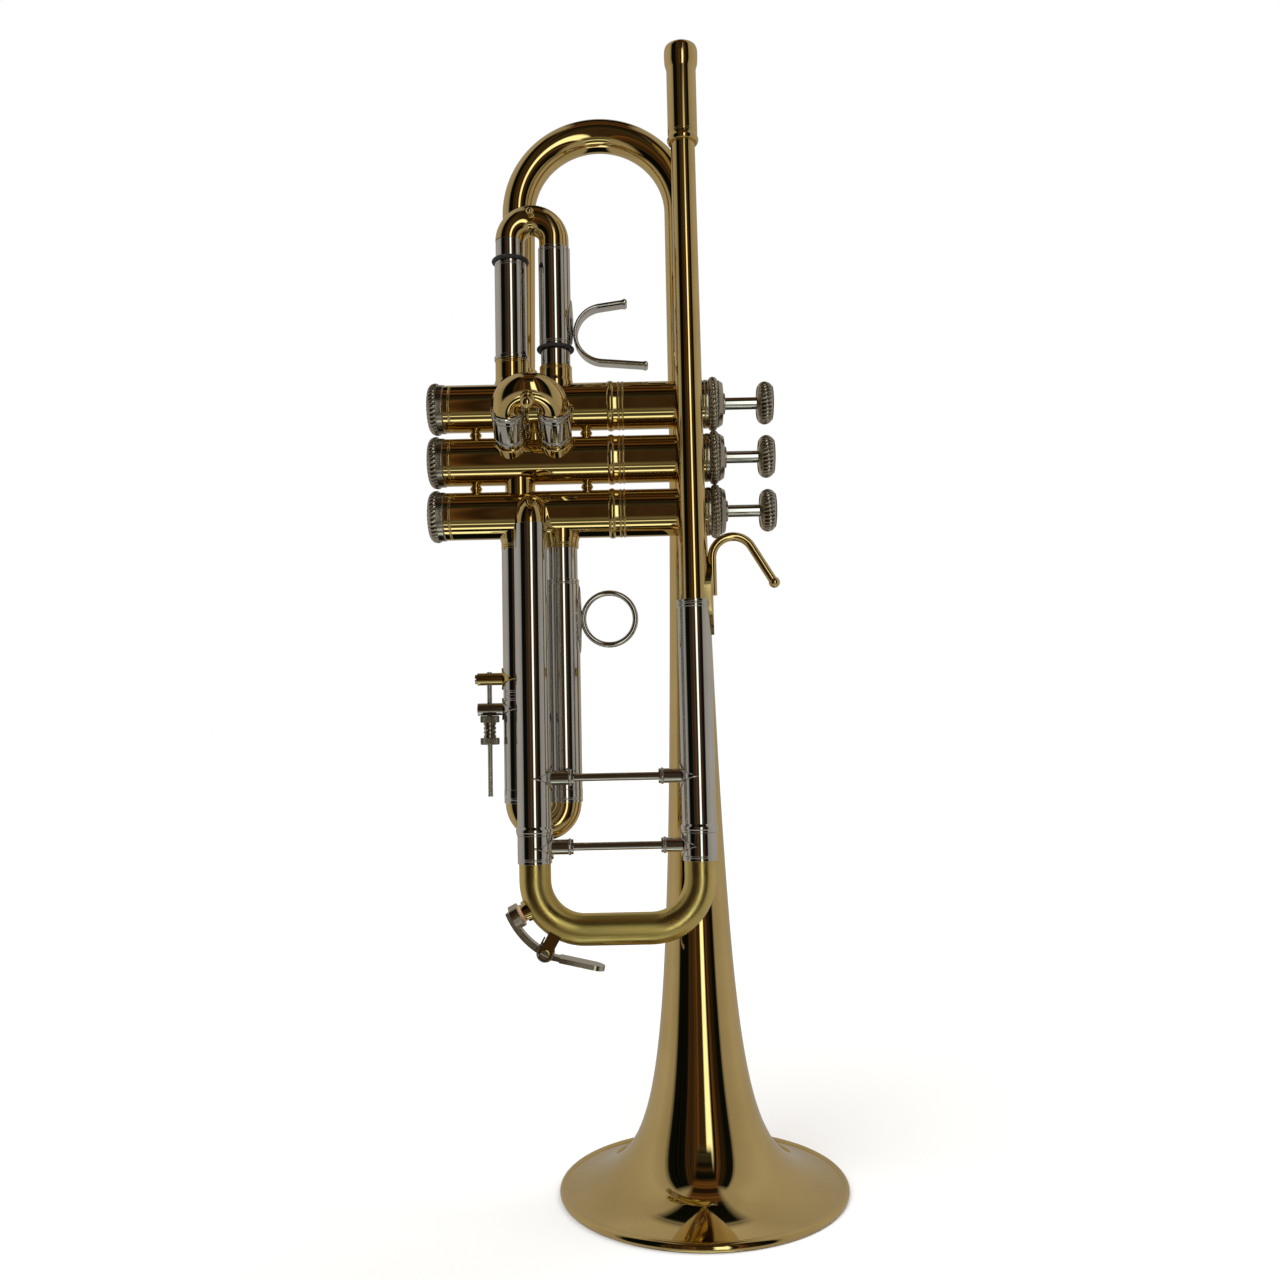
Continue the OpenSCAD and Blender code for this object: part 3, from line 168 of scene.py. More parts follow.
for part in frame["record"]["subparts"]:
    cad = frame["nodes"][part["node"]]
    cad.data.materials.clear()
    cad.data.materials.append(MATERIALS[part["material_slot"]])
    cad.data.polygons.foreach_set("use_smooth", [True] * len(cad.data.polygons))


# ---------- shape helpers ----------

def turned(profile, steps=ROUND, relief=None):
    """Revolves (r, h) points about Z: from axis to axis, or as a closed loop. relief(angle, r, h)
    is taken off the radius."""
    closed = profile[0][0] > 0
    count = len(profile)
    verts = []
    for j in range(steps):
        angle = 2 * math.pi * j / steps
        for r, h in profile:
            if relief and r > 0:
                r -= relief(angle, r, h)
            verts.append(Vector((r * math.cos(angle), r * math.sin(angle), h)))
    faces = []
    for j in range(steps):
        a, b = j * count, (j + 1) % steps * count
        for i in range(count if closed else count - 1):
            k = (i + 1) % count
            faces.append((a + i, b + i, b + k, a + k))
    return verts, faces


def soften(points, radius, steps=4):
    """(r, h) points of a loop, or of a line from axis to axis, with every corner rounded off.
    A point's third number, if it has one, is its own radius."""
    closed = points[0][0] > 0
    count = len(points)
    result = []
    for i, point in enumerate(points):
        here = Vector(point[:2])
        own = point[2] if len(point) > 2 else radius
        if own == 0 or (not closed and i in (0, count - 1)):
            result.append(tuple(here))
            continue
        to_last = Vector(points[i - 1][:2]) - here
        to_next = Vector(points[(i + 1) % count][:2]) - here
        start = here + to_last.normalized() * min(own, to_last.length * 0.49)
        end = here + to_next.normalized() * min(own, to_next.length * 0.49)
        for k in range(steps + 1):
            t = k / steps
            result.append(tuple(start * (1 - t) ** 2 + here * (2 * t * (1 - t)) + end * t * t))
    return result


def route(corners, radius, steps=16):
    """A path through the corners, with each inner corner turned as an arc."""
    points = [Vector(corners[0])]
    for i in range(1, len(corners) - 1):
        corner = Vector(corners[i])
        came = (corner - Vector(corners[i - 1])).normalized()
        goes = (Vector(corners[i + 1]) - corner).normalized()
        turn = came.angle(goes)
        start = corner - came * radius * math.tan(turn / 2)
        inward = (goes - came * came.dot(goes)).normalized()
        centre = start + inward * radius
        axis = came.cross(goes)
        for k in range(steps + 1):
            points.append(centre + Matrix.Rotation(turn * k / steps, 3, axis) @ (start - centre))
    points.append(Vector(corners[-1]))
    kept = points[:1]
    for point in points[1:]:
        if (point - kept[-1]).length > 1e-4:
            kept.append(point)
    return kept


def skin(path, radii, sides):
    """Rings of points along a path, carried round without twisting."""
    tangents = []
    for i in range(len(path)):
        ahead = (path[min(i + 1, len(path) - 1)] - path[max(i - 1, 0)]).normalized()
        tangents.append(ahead)
    tangents[0] = (path[1] - path[0]).normalized()
    tangents[-1] = (path[-1] - path[-2]).normalized()
    side = tangents[0].orthogonal().normalized()
    if abs(tangents[0].y) < 0.5:
        side = Vector((0, 1, 0))
    verts = []
    for i, (centre, tangent) in enumerate(zip(path, tangents)):
        side = (side - tangent * side.dot(tangent)).normalized()
        other = tangent.cross(side)
        for k in range(sides):
            angle = 2 * math.pi * k / sides
            verts.append(centre + radii[i] * (math.cos(angle) * side + math.sin(angle) * other))
    faces = [
        (i * sides + k, i * sides + (k + 1) % sides, (i + 1) * sides + (k + 1) % sides, (i + 1) * sides + k)
        for i in range(len(path) - 1) for k in range(sides)]
    return verts, faces


def pipe(path, outer, inner=None, sides=FINE, inner_path=None):
    """A round tube, or a rod if there is no inner radius, along a path. A radius is a number, or one
    for each point."""
    def listed(radius, points):
        return list(radius) if isinstance(radius, (list, tuple)) else [radius] * len(points)
    verts, faces = skin(path, listed(outer, path), sides)
    last = len(verts) - sides
    if inner is None:
        faces.append(tuple(range(sides)))
        faces.append(tuple(range(last, last + sides)))
        return verts, faces
    inside_path = inner_path or path
    inside, inside_faces = skin(inside_path, listed(inner, inside_path), sides)
    base = len(verts)
    verts += inside
    faces += [tuple(base + v for v in face) for face in inside_faces]
    end = len(verts) - sides
    for k in range(sides):
        n = (k + 1) % sides
        faces.append((k, n, base + n, base + k))
        faces.append((last + k, last + n, end + n, end + k))
    return verts, faces


def moved(shape, matrix):
    """The shape put in place by a matrix."""
    verts, faces = shape
    return [matrix @ v for v in verts], faces


def at(x, y, z):
    """A shift."""
    return Matrix.Translation((x, y, z))


def on_valve(i):
    """Puts +Z along valve i's axis, towards the buttons, with z measured as x."""
    return at(0, -VALVE_Y, VALVE_Z[i]) @ Matrix.Rotation(math.pi / 2, 4, "Y")


def leg(x, z, direction):
    """Puts +Z along a slide's leg that leaves valve height z at place x, towards an angle from up."""
    return at(x, -VALVE_Y, z) @ Matrix.Rotation(math.radians(direction), 4, "X")


def seated(shape, x, z, direction):
    """The shape on leg(x, z, direction), its lowest ring shaped to the casing that it stands on."""
    verts, faces = shape
    low = min(v.z for v in verts) + 0.01
    fitted = []
    for v in verts:
        if v.z < low:
            v = Vector((v.x, v.y, math.sqrt(max(0, (CASING_R - 0.25) ** 2 - v.y ** 2))))
        fitted.append(v)
    return moved((fitted, faces), leg(x, z, direction))


def piece(name, shapes, slot, body, *nodes, sharp=40):
    """A piece made of shapes, riding on a body and standing for CAD nodes."""
    verts, faces = [], []
    for shape_verts, shape_faces in shapes:
        base = len(verts)
        verts += [v * MM for v in shape_verts]
        faces += [tuple(base + v for v in face) for face in shape_faces]
    mesh = bpy.data.meshes.new(name)
    work = bmesh.new()
    points = [work.verts.new(v) for v in verts]
    for face in faces:
        work.faces.new([points[v] for v in face])
    bmesh.ops.remove_doubles(work, verts=work.verts, dist=1e-7)
    bmesh.ops.dissolve_degenerate(work, edges=work.edges, dist=1e-8)
    bmesh.ops.recalc_face_normals(work, faces=work.faces)
    work.to_mesh(mesh)
    work.free()
    mesh.polygons.foreach_set("use_smooth", [True] * len(mesh.polygons))
    mesh.set_sharp_from_angle(angle=math.radians(sharp))
    mesh.materials.append(MATERIALS[slot])
    made = bpy.data.objects.new(name, mesh)
    bpy.context.scene.collection.objects.link(made)
    normals = made.modifiers.new("weighted_normals", "WEIGHTED_NORMAL")
    normals.keep_sharp = True
    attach(made, body)
    if nodes:
        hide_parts(*nodes)
    return made


def rope(low, high, count, depth, slant=0.0):
    """Knurling between heights low and high: rounded ridges with sharp valleys."""
    def relief(angle, r, h):
        if not low < h < high:
            return 0
        return depth * (1 - abs(math.sin(count * angle / 2 + slant * (h - low))))
    return relief


def bead(centre_r, centre_h, radius, start, end, steps=10):
    """(r, h) points on a circle, from one angle to another, in degrees from +r towards +h."""
    return [(centre_r + radius * math.cos(math.radians(start + (end - start) * k / steps)),
             centre_h + radius * math.sin(math.radians(start + (end - start) * k / steps)), 0)
            for k in range(steps + 1)]


def profile_points(points):
    """The (r, h) of points that carry a corner radius."""
    return [tuple(point[:2]) for point in points]


def grooves(r, *heights, width=0.34, depth=0.14):
    """(r, h) points of fine lines cut round a tube, in the order of the heights."""
    points = []
    for h in heights:
        points += [(r, h - width / 2, 0), (r - depth, h, 0.03), (r, h + width / 2, 0)]
    return points


def sleeve(r_out, r_in, low, high, lines=(), edge=0.18):
    """A straight tube from low to high with rounded ends and fine lines cut round it."""
    outside = [(r_out, low)] + grooves(r_out, *sorted(lines)) + [(r_out, high)]
    return turned(soften(outside + [(r_in, high), (r_in, low)], edge), FINE)


# ---------- sizes of the frame ----------

# Radii of tubes, then the places of the leadpipe, casings, slide legs and bell, as in the CAD.
BORE_R, INNER_R, SLEEVE_RI, SLEEVE_R = 5.83, 6.3, 6.35, 6.85
BRASS_R, FERRULE_R, CROOK_R = 6.4, 6.95, 9.5
LEADPIPE_Y, MAIN_PITCH = 37, 66.5
VALVE_Y, CASING_R, CASING_BORE_R = 20, 10.1, 8.9
VALVE_Z, VALVE_PITCH = (333.8, 310.5, 287.2), 23.3
CASING_X = (-103.8, 7)
LEG_X1, LEG_X2, LEG_X3 = (-75.2, -56.2), (-75, -56), (-73.6, -54.6)
TILT = 50.7
BELL_BOW_R, BELL_BOW_Z, TAIL_X = 36.65, 428, -73.3
SEAM_Z, LEADPIPE_FOOT, BOW_TOP = 153.6, 238, 147
FIRST_TOPS, SECOND_TOP, THIRD_TOP = (354.3, 351.2), 12.4, 272.6
ELBOW_R = LEADPIPE_Y - VALVE_Y - CASING_R + 0.1
BELL_TAIL_Z = 356
UP, DOWN = 0, 180


# ---------- bell ----------

FLARE_END, BELL_WALL, SHEET_EDGE_R = 323, 0.6, 57.9
FLARE_SCALE, FLARE_SHIFT, FLARE_POWER = 125.64, 2.294, 0.466
NECK_Z, NECK_TAPER = 120, 0.0045


def flare_r(z):
    """Outer radius of the bell at height z: a horn curve, taken in a little along the neck."""
    return FLARE_SCALE * (z + FLARE_SHIFT) ** -FLARE_POWER - NECK_TAPER * max(0, z - NECK_Z)


def bell():
    """The sheet from flare to tail as one tube, and the wire that its edge is rolled over."""
    edge_z = (FLARE_SCALE / SHEET_EDGE_R) ** (1 / FLARE_POWER) - FLARE_SHIFT
    steps = 150
    heights = [edge_z + (FLARE_END - edge_z) * (k / steps) ** 3 for k in range(steps + 1)]
    outer_r = [flare_r(z) for z in heights]
    outer = [Vector((0, 0, z)) for z in heights]
    inner_r, inner = [SHEET_EDGE_R], [Vector((0, 0, edge_z - BELL_WALL))]
    for z in heights[1:]:
        slope = (flare_r(z - 0.01) - flare_r(z + 0.01)) / 0.02
        length = math.sqrt(1 + slope * slope)
        inner_r.append(flare_r(z) - BELL_WALL / length)
        inner.append(Vector((0, 0, z - BELL_WALL * slope / length)))
    bow_r, tail_r, bow_wall, plug = 7.3, 6.4, 0.5, 10
    rest = route([(0, 0, BELL_BOW_Z - 40), (0, 0, BELL_BOW_Z + BELL_BOW_R),
                  (TAIL_X, 0, BELL_BOW_Z + BELL_BOW_R), (TAIL_X, 0, BELL_BOW_Z)], BELL_BOW_R, steps=32)
    stem_r = flare_r(FLARE_END)
    radii = []
    for point in rest:
        share = min(1, (point.z - FLARE_END) / (BELL_BOW_Z - FLARE_END)) if point.x > -1 else 1
        radii.append(stem_r + (bow_r - stem_r) * share)
    rest += [Vector((TAIL_X, 0, BELL_TAIL_Z)), Vector((TAIL_X, 0, BELL_TAIL_Z - plug))]
    radii += [tail_r, tail_r]
    shape = pipe(outer + rest, outer_r + radii, inner_r + [r - bow_wall for r in radii],
                 sides=128, inner_path=inner + rest)
    piece("bell_skin", [shape], "lacquered_brass", "horn", "bell")
    wire_r, wire_z, bead_r, sides = 59.2, 1.65, 1.9, 40
    loop = []
    for k in range(sides):
        angle = 2 * math.pi * k / sides
        loop.append((max(SHEET_EDGE_R, wire_r + bead_r * math.cos(angle)),
                     max(0, wire_z + bead_r * math.sin(angle))))
    piece("bell_rim", [turned(loop, 160)], "lacquered_brass", "horn", "bell_rim_wire", sharp=50)


# ---------- leadpipe and main tuning slide ----------

def leadpipe():
    """The leadpipe, and the receiver that the mouthpiece goes into."""
    place = at(0, -LEADPIPE_Y, 0)
    pipe_top, throat_r = 455, 4.4
    outside = [(5.9, LEADPIPE_FOOT), (5, pipe_top)]
    inside = [(throat_r, pipe_top), (5.4, LEADPIPE_FOOT)]
    piece("leadpipe_tube", [moved(turned(outside + inside, FINE), place)],
          "lacquered_brass", "horn", "leadpipe")
    body_r, top, bottom, mouth_r, depth = 6.25, 483, 441, 5.55, 28
    crown = [(body_r, top - 9.5, 0.8), (6.95, top - 7.4, 1.2), (7.15, top - 4, 1.5), (7.05, top - 1.3, 0.5),
             (6.6, top, 0.3), (mouth_r + 0.35, top, 0.3)]
    bore = [(mouth_r, top - 0.6, 0.3), (mouth_r - 0.7, top - depth, 0), (throat_r, top - depth, 0),
            (throat_r, pipe_top), (4.98, pipe_top)]
    profile = [(5.0, bottom), (body_r - 0.1, bottom)] + bead(body_r - 1, bottom + 1.4, 1.4, -28, 28) \
        + [(body_r, bottom + 2.9, 0.1)] + grooves(body_r, bottom + 3.9, bottom + 4.7) + crown + bore
    piece("receiver", [moved(turned(soften(profile, 0.25), FINE), place)],
          "lacquered_brass", "horn", "mouthpiece_receiver")


def sleeve_profile(top, crowned):
    """(r, h) loop of a main slide's fixed sleeve. A crowned one steps in to hold the leadpipe."""
    low, crown_r, seat_r = SEAM_Z + 0.1, 7.2, 5.9
    outside = [(SLEEVE_RI, low), (SLEEVE_R + 0.4, low)] \
        + bead(SLEEVE_R - 1.1, low + 1.8, 1.8, -30, 30) + [(SLEEVE_R, low + 3.5)]
    if crowned:
        outside += [(SLEEVE_R, top - 3), (crown_r, top - 2.9)]
        outside += grooves(crown_r, top - 1.9, top - 1.1) + [(crown_r, top)]
        return outside + [(seat_r - 0.02, top), (seat_r, LEADPIPE_FOOT), (SLEEVE_RI, LEADPIPE_FOOT)]
    return outside + [(SLEEVE_R, top), (SLEEVE_RI, top)]


def main_slide():
    """The two fixed sleeves, and the bow and legs that slide in them."""
    elbow_z, crown_z = VALVE_Z[2] - ELBOW_R, 247.5
    upper = turned(soften(sleeve_profile(crown_z, True), 0.15), FINE)
    piece("upper_sleeve_tube", [moved(upper, at(0, -LEADPIPE_Y, 0))],
          "nickel_silver", "horn", "upper_sleeve")
    lower = turned(soften(sleeve_profile(elbow_z, False), 0.15), FINE)
    piece("lower_sleeve_tube", [moved(lower, at(-MAIN_PITCH, -LEADPIPE_Y, 0))],
          "nickel_silver", "horn", "lower_sleeve")

    bottom, ring_low = 115.8, 142.4
    path = route([(0, -LEADPIPE_Y, BOW_TOP), (0, -LEADPIPE_Y, bottom), (-MAIN_PITCH, -LEADPIPE_Y, bottom),
                  (-MAIN_PITCH, -LEADPIPE_Y, BOW_TOP)], 20, steps=24)
    piece("tuning_bow_tube", [pipe(path, BRASS_R, BORE_R, sides=96)],
          "satin_brass", "tuning_slide", "tuning_bow")
    legs = []
    for x, high in ((0, LEADPIPE_FOOT - 2), (-MAIN_PITCH, elbow_z - 8)):
        profile = [(BRASS_R, ring_low), (FERRULE_R, ring_low)] \
            + grooves(FERRULE_R, ring_low + 1.2, ring_low + 2.0) \
            + [(FERRULE_R, SEAM_Z), (INNER_R, SEAM_Z), (INNER_R, high), (BORE_R, high),
               (BORE_R, BOW_TOP), (BRASS_R, BOW_TOP)]
        legs.append(moved(turned(soften(profile, 0.15), FINE), at(x, -LEADPIPE_Y, 0)))
    piece("tuning_legs", legs, "nickel_silver", "tuning_slide", "tuning_slide_tubes")


def elbows():
    """The bend from casing 3 into the main slide, and the one from casing 1 into the bell."""
    x, z, foot = -MAIN_PITCH, VALVE_Z[2], 6
    front = route([(x, -VALVE_Y - 6, z), (x, -LEADPIPE_Y, z), (x, -LEADPIPE_Y, z - ELBOW_R - foot)],
                  ELBOW_R, steps=20)
    tail_r, wall, collar_h = 6.8, 0.4, 1.6
    back = route([(TAIL_X, -VALVE_Y + 6, VALVE_Z[0]), (TAIL_X, 0, VALVE_Z[0]), (TAIL_X, 0, BELL_TAIL_Z)],
                 7.5, steps=20)
    collar_low, collar_r = BELL_TAIL_Z - collar_h, tail_r + 0.5
    collar = [(tail_r, collar_low), (collar_r, collar_low), (collar_r, BELL_TAIL_Z),
              (tail_r - wall, BELL_TAIL_Z), (tail_r - wall, collar_low)]
    outer_front = [SLEEVE_RI if point.z < z - ELBOW_R - 1 else BRASS_R for point in front]
    shapes = [pipe(front, outer_front, BORE_R), pipe(back, tail_r, tail_r - wall),
              moved(turned(soften(collar, 0.2), FINE), at(TAIL_X, 0, 0))]
    piece("casing_elbow_tubes", shapes, "lacquered_brass", "horn", "casing_elbows")


# ---------- valves ----------

CAP_THREAD_R, CAP_BORE_R = 9.72, 8.4
CAP_RIDGES, BUTTON_RIDGES, RIDGE_SIDES = 34, 30, 12


def valves():
    """The three casings and the turned posts that tie them together."""
    low, high = CASING_X
    thread_r, thread_low, thread_high = CASING_R - 0.4, low - 3.2, high + 3.5
    bead_x = -33
    for i in range(3):
        outside = [(CASING_BORE_R, thread_low), (thread_r, thread_low), (thread_r, low), (CASING_R, low)]
        outside += grooves(CASING_R, low + 2.2, low + 3.0)
        outside += bead(CASING_R - 1.4, bead_x, 2, -44, 44, 12)
        for ring_x in (-29.4, -27.8):
            outside += bead(CASING_R - 0.25, ring_x, 0.55, -62, 62, 6)
        outside += grooves(CASING_R, high - 3.0, high - 2.2)
        outside += [(CASING_R, high), (thread_r, high), (thread_r, thread_high)]
        outside += [(CASING_BORE_R, thread_high)]
        tube = moved(turned(soften(outside, 0.15), ROUND), on_valve(i))
        piece(f"casing_tube_{i + 1}", [tube], "lacquered_brass", "horn", f"valve_casing_{i + 1}")

    posts = []
    half = VALVE_PITCH / 2
    span, neck = half - CASING_R + 0.25, 0.7
    post = [(0, -span), (2.6, -span), (1.9, -span * neck, 0.3), (2.1, -0.9, 0.2)] \
        + bead(1.7, 0, 0.9, -75, 75, 6) + [(2.1, 0.9, 0.2), (1.9, span * neck, 0.3), (2.6, span), (0, span)]
    for i in (0, 1):
        for x in (-91, -43.6):
            posts.append(moved(turned(profile_points(post), 48), at(x, -VALVE_Y, VALVE_Z[i] - half)))
    piece("casing_post_set", posts, "lacquered_brass", "horn", "casing_posts")


def bottom_cap_set():
    """The bottom caps: a knurled rim, a hole with a raised edge, and a thread inside."""
    shapes = []
    height, floor = 6.9, 2.4
    outside = [(0, 1.8), (2, 1.8), (2, 0.4), (2.5, 0, 0.2), (7.6, 0, 0.6)] \
        + bead(8.15, 3.0, 2.95, -88, 20, 16) + [(10.4, 4.0, 0.15), (10.4, height - 0.4), (10.1, height)]
    inside = [(CAP_THREAD_R, height), (CAP_THREAD_R, height - 3.2), (CAP_BORE_R, height - 3.2),
              (CAP_BORE_R, floor), (0, floor)]
    ridged = rope(0.3, 4.0, CAP_RIDGES, 0.55, 0.35)

    def relief(angle, r, h):
        return ridged(angle, r, h) if r > 8.8 else 0
    for i in range(3):
        shape = turned(soften(outside + inside, 0.25, 3), CAP_RIDGES * RIDGE_SIDES, relief)
        shapes.append(moved(shape, on_valve(i) @ at(0, 0, CASING_X[0] - height)))
    piece("bottom_cap_set", shapes, "aged_nickel", "horn", "bottom_caps", sharp=55)


def top_cap_set():
    """The top caps: a knurled ring between two steps, and a neck round the stem."""
    shapes = []
    neck_r, ceiling, thread_end = 2.9, 5.5, 3.5
    outside = [(CAP_THREAD_R, 0), (10.3, 0), (10.3, 1.6), (9.9, 2.0, 0.1)] \
        + bead(9.6, 3.9, 1.93, -72, 72, 14) + [(9.9, 5.9, 0.1), (10.1, 6.1, 0.1), (8.9, 8.0, 0.3)] \
        + [(4.9, 8.0, 0.2), (4.5, 8.3, 0.1), (4.5, 9.1), (neck_r, 9.1)]
    inside = [(neck_r, ceiling), (CAP_BORE_R, ceiling), (CAP_BORE_R, thread_end),
              (CAP_THREAD_R, thread_end)]
    ridged = rope(2.1, 5.75, CAP_RIDGES, 0.6, 0.4)

    def relief(angle, r, h):
        return ridged(angle, r, h) if r > 9.9 else 0
    for i in range(3):
        shape = turned(soften(outside + inside, 0.25, 3), CAP_RIDGES * RIDGE_SIDES, relief)
        shapes.append(moved(shape, on_valve(i) @ at(0, 0, CASING_X[1])))
    piece("top_cap_set", shapes, "aged_nickel", "horn", "top_caps", sharp=55)


def buttons():
    """The finger buttons, their stems, and the dished inlays in their faces."""
    button_x, button_h, button_r, stem_r, barrel_top = 29.9, 6.6, 9.1, 2.6, 10.45
    ridged = rope(0.5, button_h - 0.5, BUTTON_RIDGES, 0.65, 0.3)

    def relief(angle, r, h):
        return ridged(angle, r, h - button_x) if r > button_r - 0.7 else 0
    stem = [(0, barrel_top - 1.5), (1.9, barrel_top - 1.5), (1.9, barrel_top), (stem_r, barrel_top),
            (stem_r, button_x), (0, button_x)]
    inlay_r, recess, round_r = 7.1, 0.7, 3.4
    side = bead(button_r - round_r, button_h / 2, round_r, -68, 68, 16)
    rim = [(0, button_x), (stem_r + 1.6, button_x, 0.3), (stem_r + 2.0, button_x + 0.4, 0.3)] \
        + [(7.2, button_x + 0.4)] + [(r, h + button_x, 0) for r, h, _ in side] \
        + [(inlay_r + 0.3, button_x + button_h, 0.2), (inlay_r, button_x + button_h - recess),
           (0, button_x + button_h - recess)]
    dish = [(0, button_h - recess), (inlay_r, button_h - recess), (inlay_r, button_h - 0.15, 0.15),
            (inlay_r - 0.8, button_h - 0.05, 0.3), (3.5, button_h - 0.35, 2), (0, button_h - 0.42)]
    for i in range(3):
        body = f"valve_{i + 1}"
        knurled = turned(soften(rim, 0.2, 3), BUTTON_RIDGES * RIDGE_SIDES, relief)
        piece(f"button_{i + 1}", [moved(knurled, on_valve(i))],
              "aged_nickel", body, f"finger_button_{i + 1}", sharp=50)
        piece(f"stem_{i + 1}", [moved(turned(soften(stem, 0.15), FINE), on_valve(i))],
              "nickel_silver", body)
        piece(f"inlay_{i + 1}", [moved(turned(soften(dish, 0.1), FINE), on_valve(i) @ at(0, 0, button_x))],
              "pearl", body, f"button_pearl_{i + 1}", sharp=50)


def springs():
    """The return springs, which are squashed as their valves go down."""
    low, high = -15.08, 8.93
    wire, coil_r, turns, steps = 0.5, 5.6, 8, 36
    for i in range(3):
        path = []
        for k in range(turns * steps + 1):
            share = k / (turns * steps)
            angle = 2 * math.pi * k / steps
            path.append(Vector((coil_r * math.cos(angle), coil_r * math.sin(angle),
                                low + wire + share * (high - low - 2 * wire))))
        coil = piece(f"spring_coil_{i + 1}", [moved(pipe(path, wire, sides=10), on_valve(i))],
                     "spring_steel", "horn", f"valve_spring_{i + 1}")
        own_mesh(coil)


# ---------- valve slides ----------

def ferrule(top, r_out=FERRULE_R, flare=7.5, grooved=True):
    """A ferrule that stands on a casing, to height top above its axis."""
    lift = CASING_R + 3
    lines = grooves(r_out, top - 1.7, top - 0.9) if grooved else []
    profile = [(flare, 5, 0), (flare - 0.1, CASING_R + 0.3, 0), (r_out + 0.12, CASING_R + 1.4, 0.6)] \
        + [(r_out, min(lift, top - 2.4), 0)] + lines + [(r_out, top), (BORE_R, top), (BORE_R, 5, 0)]
    return turned(soften(profile, 0.15), FINE)


def slide_ferrules():
    """The six ferrules that join the valve slides to the casings."""
    shapes = []
    for x, top in zip(LEG_X1, FIRST_TOPS):
        shapes.append(seated(ferrule(top - VALVE_Z[0]), x, VALVE_Z[0], UP))
    for x in LEG_X2:
        shapes.append(seated(ferrule(SECOND_TOP, BRASS_R, BRASS_R + 0.9, False), x, VALVE_Z[1], TILT))
    for x in LEG_X3:
        shapes.append(seated(ferrule(VALVE_Z[2] - THIRD_TOP), x, VALVE_Z[2], DOWN))
    piece("ferrule_set", shapes, "lacquered_brass", "horn", "slide_ferrules")


def first_slide():
    """The first slide, which is pulled up by the thumb, and its rubber bumper rings."""
    (x1, x2), y = LEG_X1, -VALVE_Y
    fixed_top, moving_low, moving_high, crook_low = 397.4, 359.9, 403.5, 407.1
    fixed = [moved(sleeve(SLEEVE_R, SLEEVE_RI, FIRST_TOPS[0], fixed_top, (396.2, 395.4)), at(x1, y, 0)),
             moved(sleeve(SLEEVE_R + 0.5, SLEEVE_RI, FIRST_TOPS[0], 355.9), at(x1, y, 0)),
             moved(sleeve(INNER_R, BORE_R, FIRST_TOPS[1], 398), at(x2, y, 0))]
    piece("first_fixed_tubes", fixed, "nickel_silver", "horn", "first_slide_fixed_tubes")
    lines = (361.1, 361.9, 401.5, 402.3)
    moving = [moved(sleeve(INNER_R, BORE_R, 358.3, crook_low), at(x1, y, 0)),
              moved(sleeve(SLEEVE_R, SLEEVE_RI, moving_low, moving_high, lines), at(x2, y, 0))]
    piece("first_moving_tubes", moving, "nickel_silver", "first_slide", "first_slide_tubes")
    arc_top = crook_low + CROOK_R
    path = route([(x1, y, crook_low), (x1, y, arc_top), (x2, y, arc_top), (x2, y, moving_high)],
                 CROOK_R, steps=20)
    piece("first_crook_tube", [pipe(path, BRASS_R, BORE_R)],
          "lacquered_brass", "first_slide", "first_slide_crook")
    cord_r = 0.85
    rings = []
    for x, z, r in ((x1, fixed_top + cord_r, INNER_R + 0.9), (x2, moving_low - cord_r, INNER_R + 0.95)):
        cord = profile_points(bead(r, 0, cord_r, 0, 342, 19))
        rings.append(moved(turned(cord, FINE), at(x, y, z)))
    piece("bumper_rings", rings, "black_rubber", "horn", "slide_bumpers")


def strap(path, width, thick, bulge):
    """A rounded strap across Y along a path in the XZ plane, with thicker rounded ends."""
    sides, bead_l, round_l, edge = 32, 2.2, 0.9, 0.5
    lengths = [0.0]
    for i in range(1, len(path)):
        lengths.append(lengths[-1] + (path[i] - path[i - 1]).length)
    verts, faces = [], []
    for i, centre in enumerate(path):
        along = (path[min(i + 1, len(path) - 1)] - path[max(i - 1, 0)]).normalized()
        normal = Vector((-along.z, 0, along.x))
        end = min(lengths[i], lengths[-1] - lengths[i])
        swell = bulge * max(0, 1 - (end / (bead_l / 2) - 1) ** 2) if end < bead_l else 0
        close = math.sqrt(max(0.02, 1 - (1 - min(end, round_l) / round_l) ** 2))
        half = (thick / 2 + swell) * close
        for k in range(sides):
            angle = 2 * math.pi * k / sides
            c, d = math.cos(angle), math.sin(angle)
            across = (width / 2 - edge * (1 - close)) * math.copysign(abs(c) ** 0.35, c)
            verts.append(centre + Vector((0, across, 0)) + normal * half * math.copysign(abs(d) ** 0.8, d))
    for i in range(len(path) - 1):
        for k in range(sides):
            n = (k + 1) % sides
            faces.append((i * sides + k, i * sides + n, (i + 1) * sides + n, (i + 1) * sides + k))
    last = len(verts) - sides
    faces += [tuple(range(sides)), tuple(range(last, last + sides))]
    return verts, faces


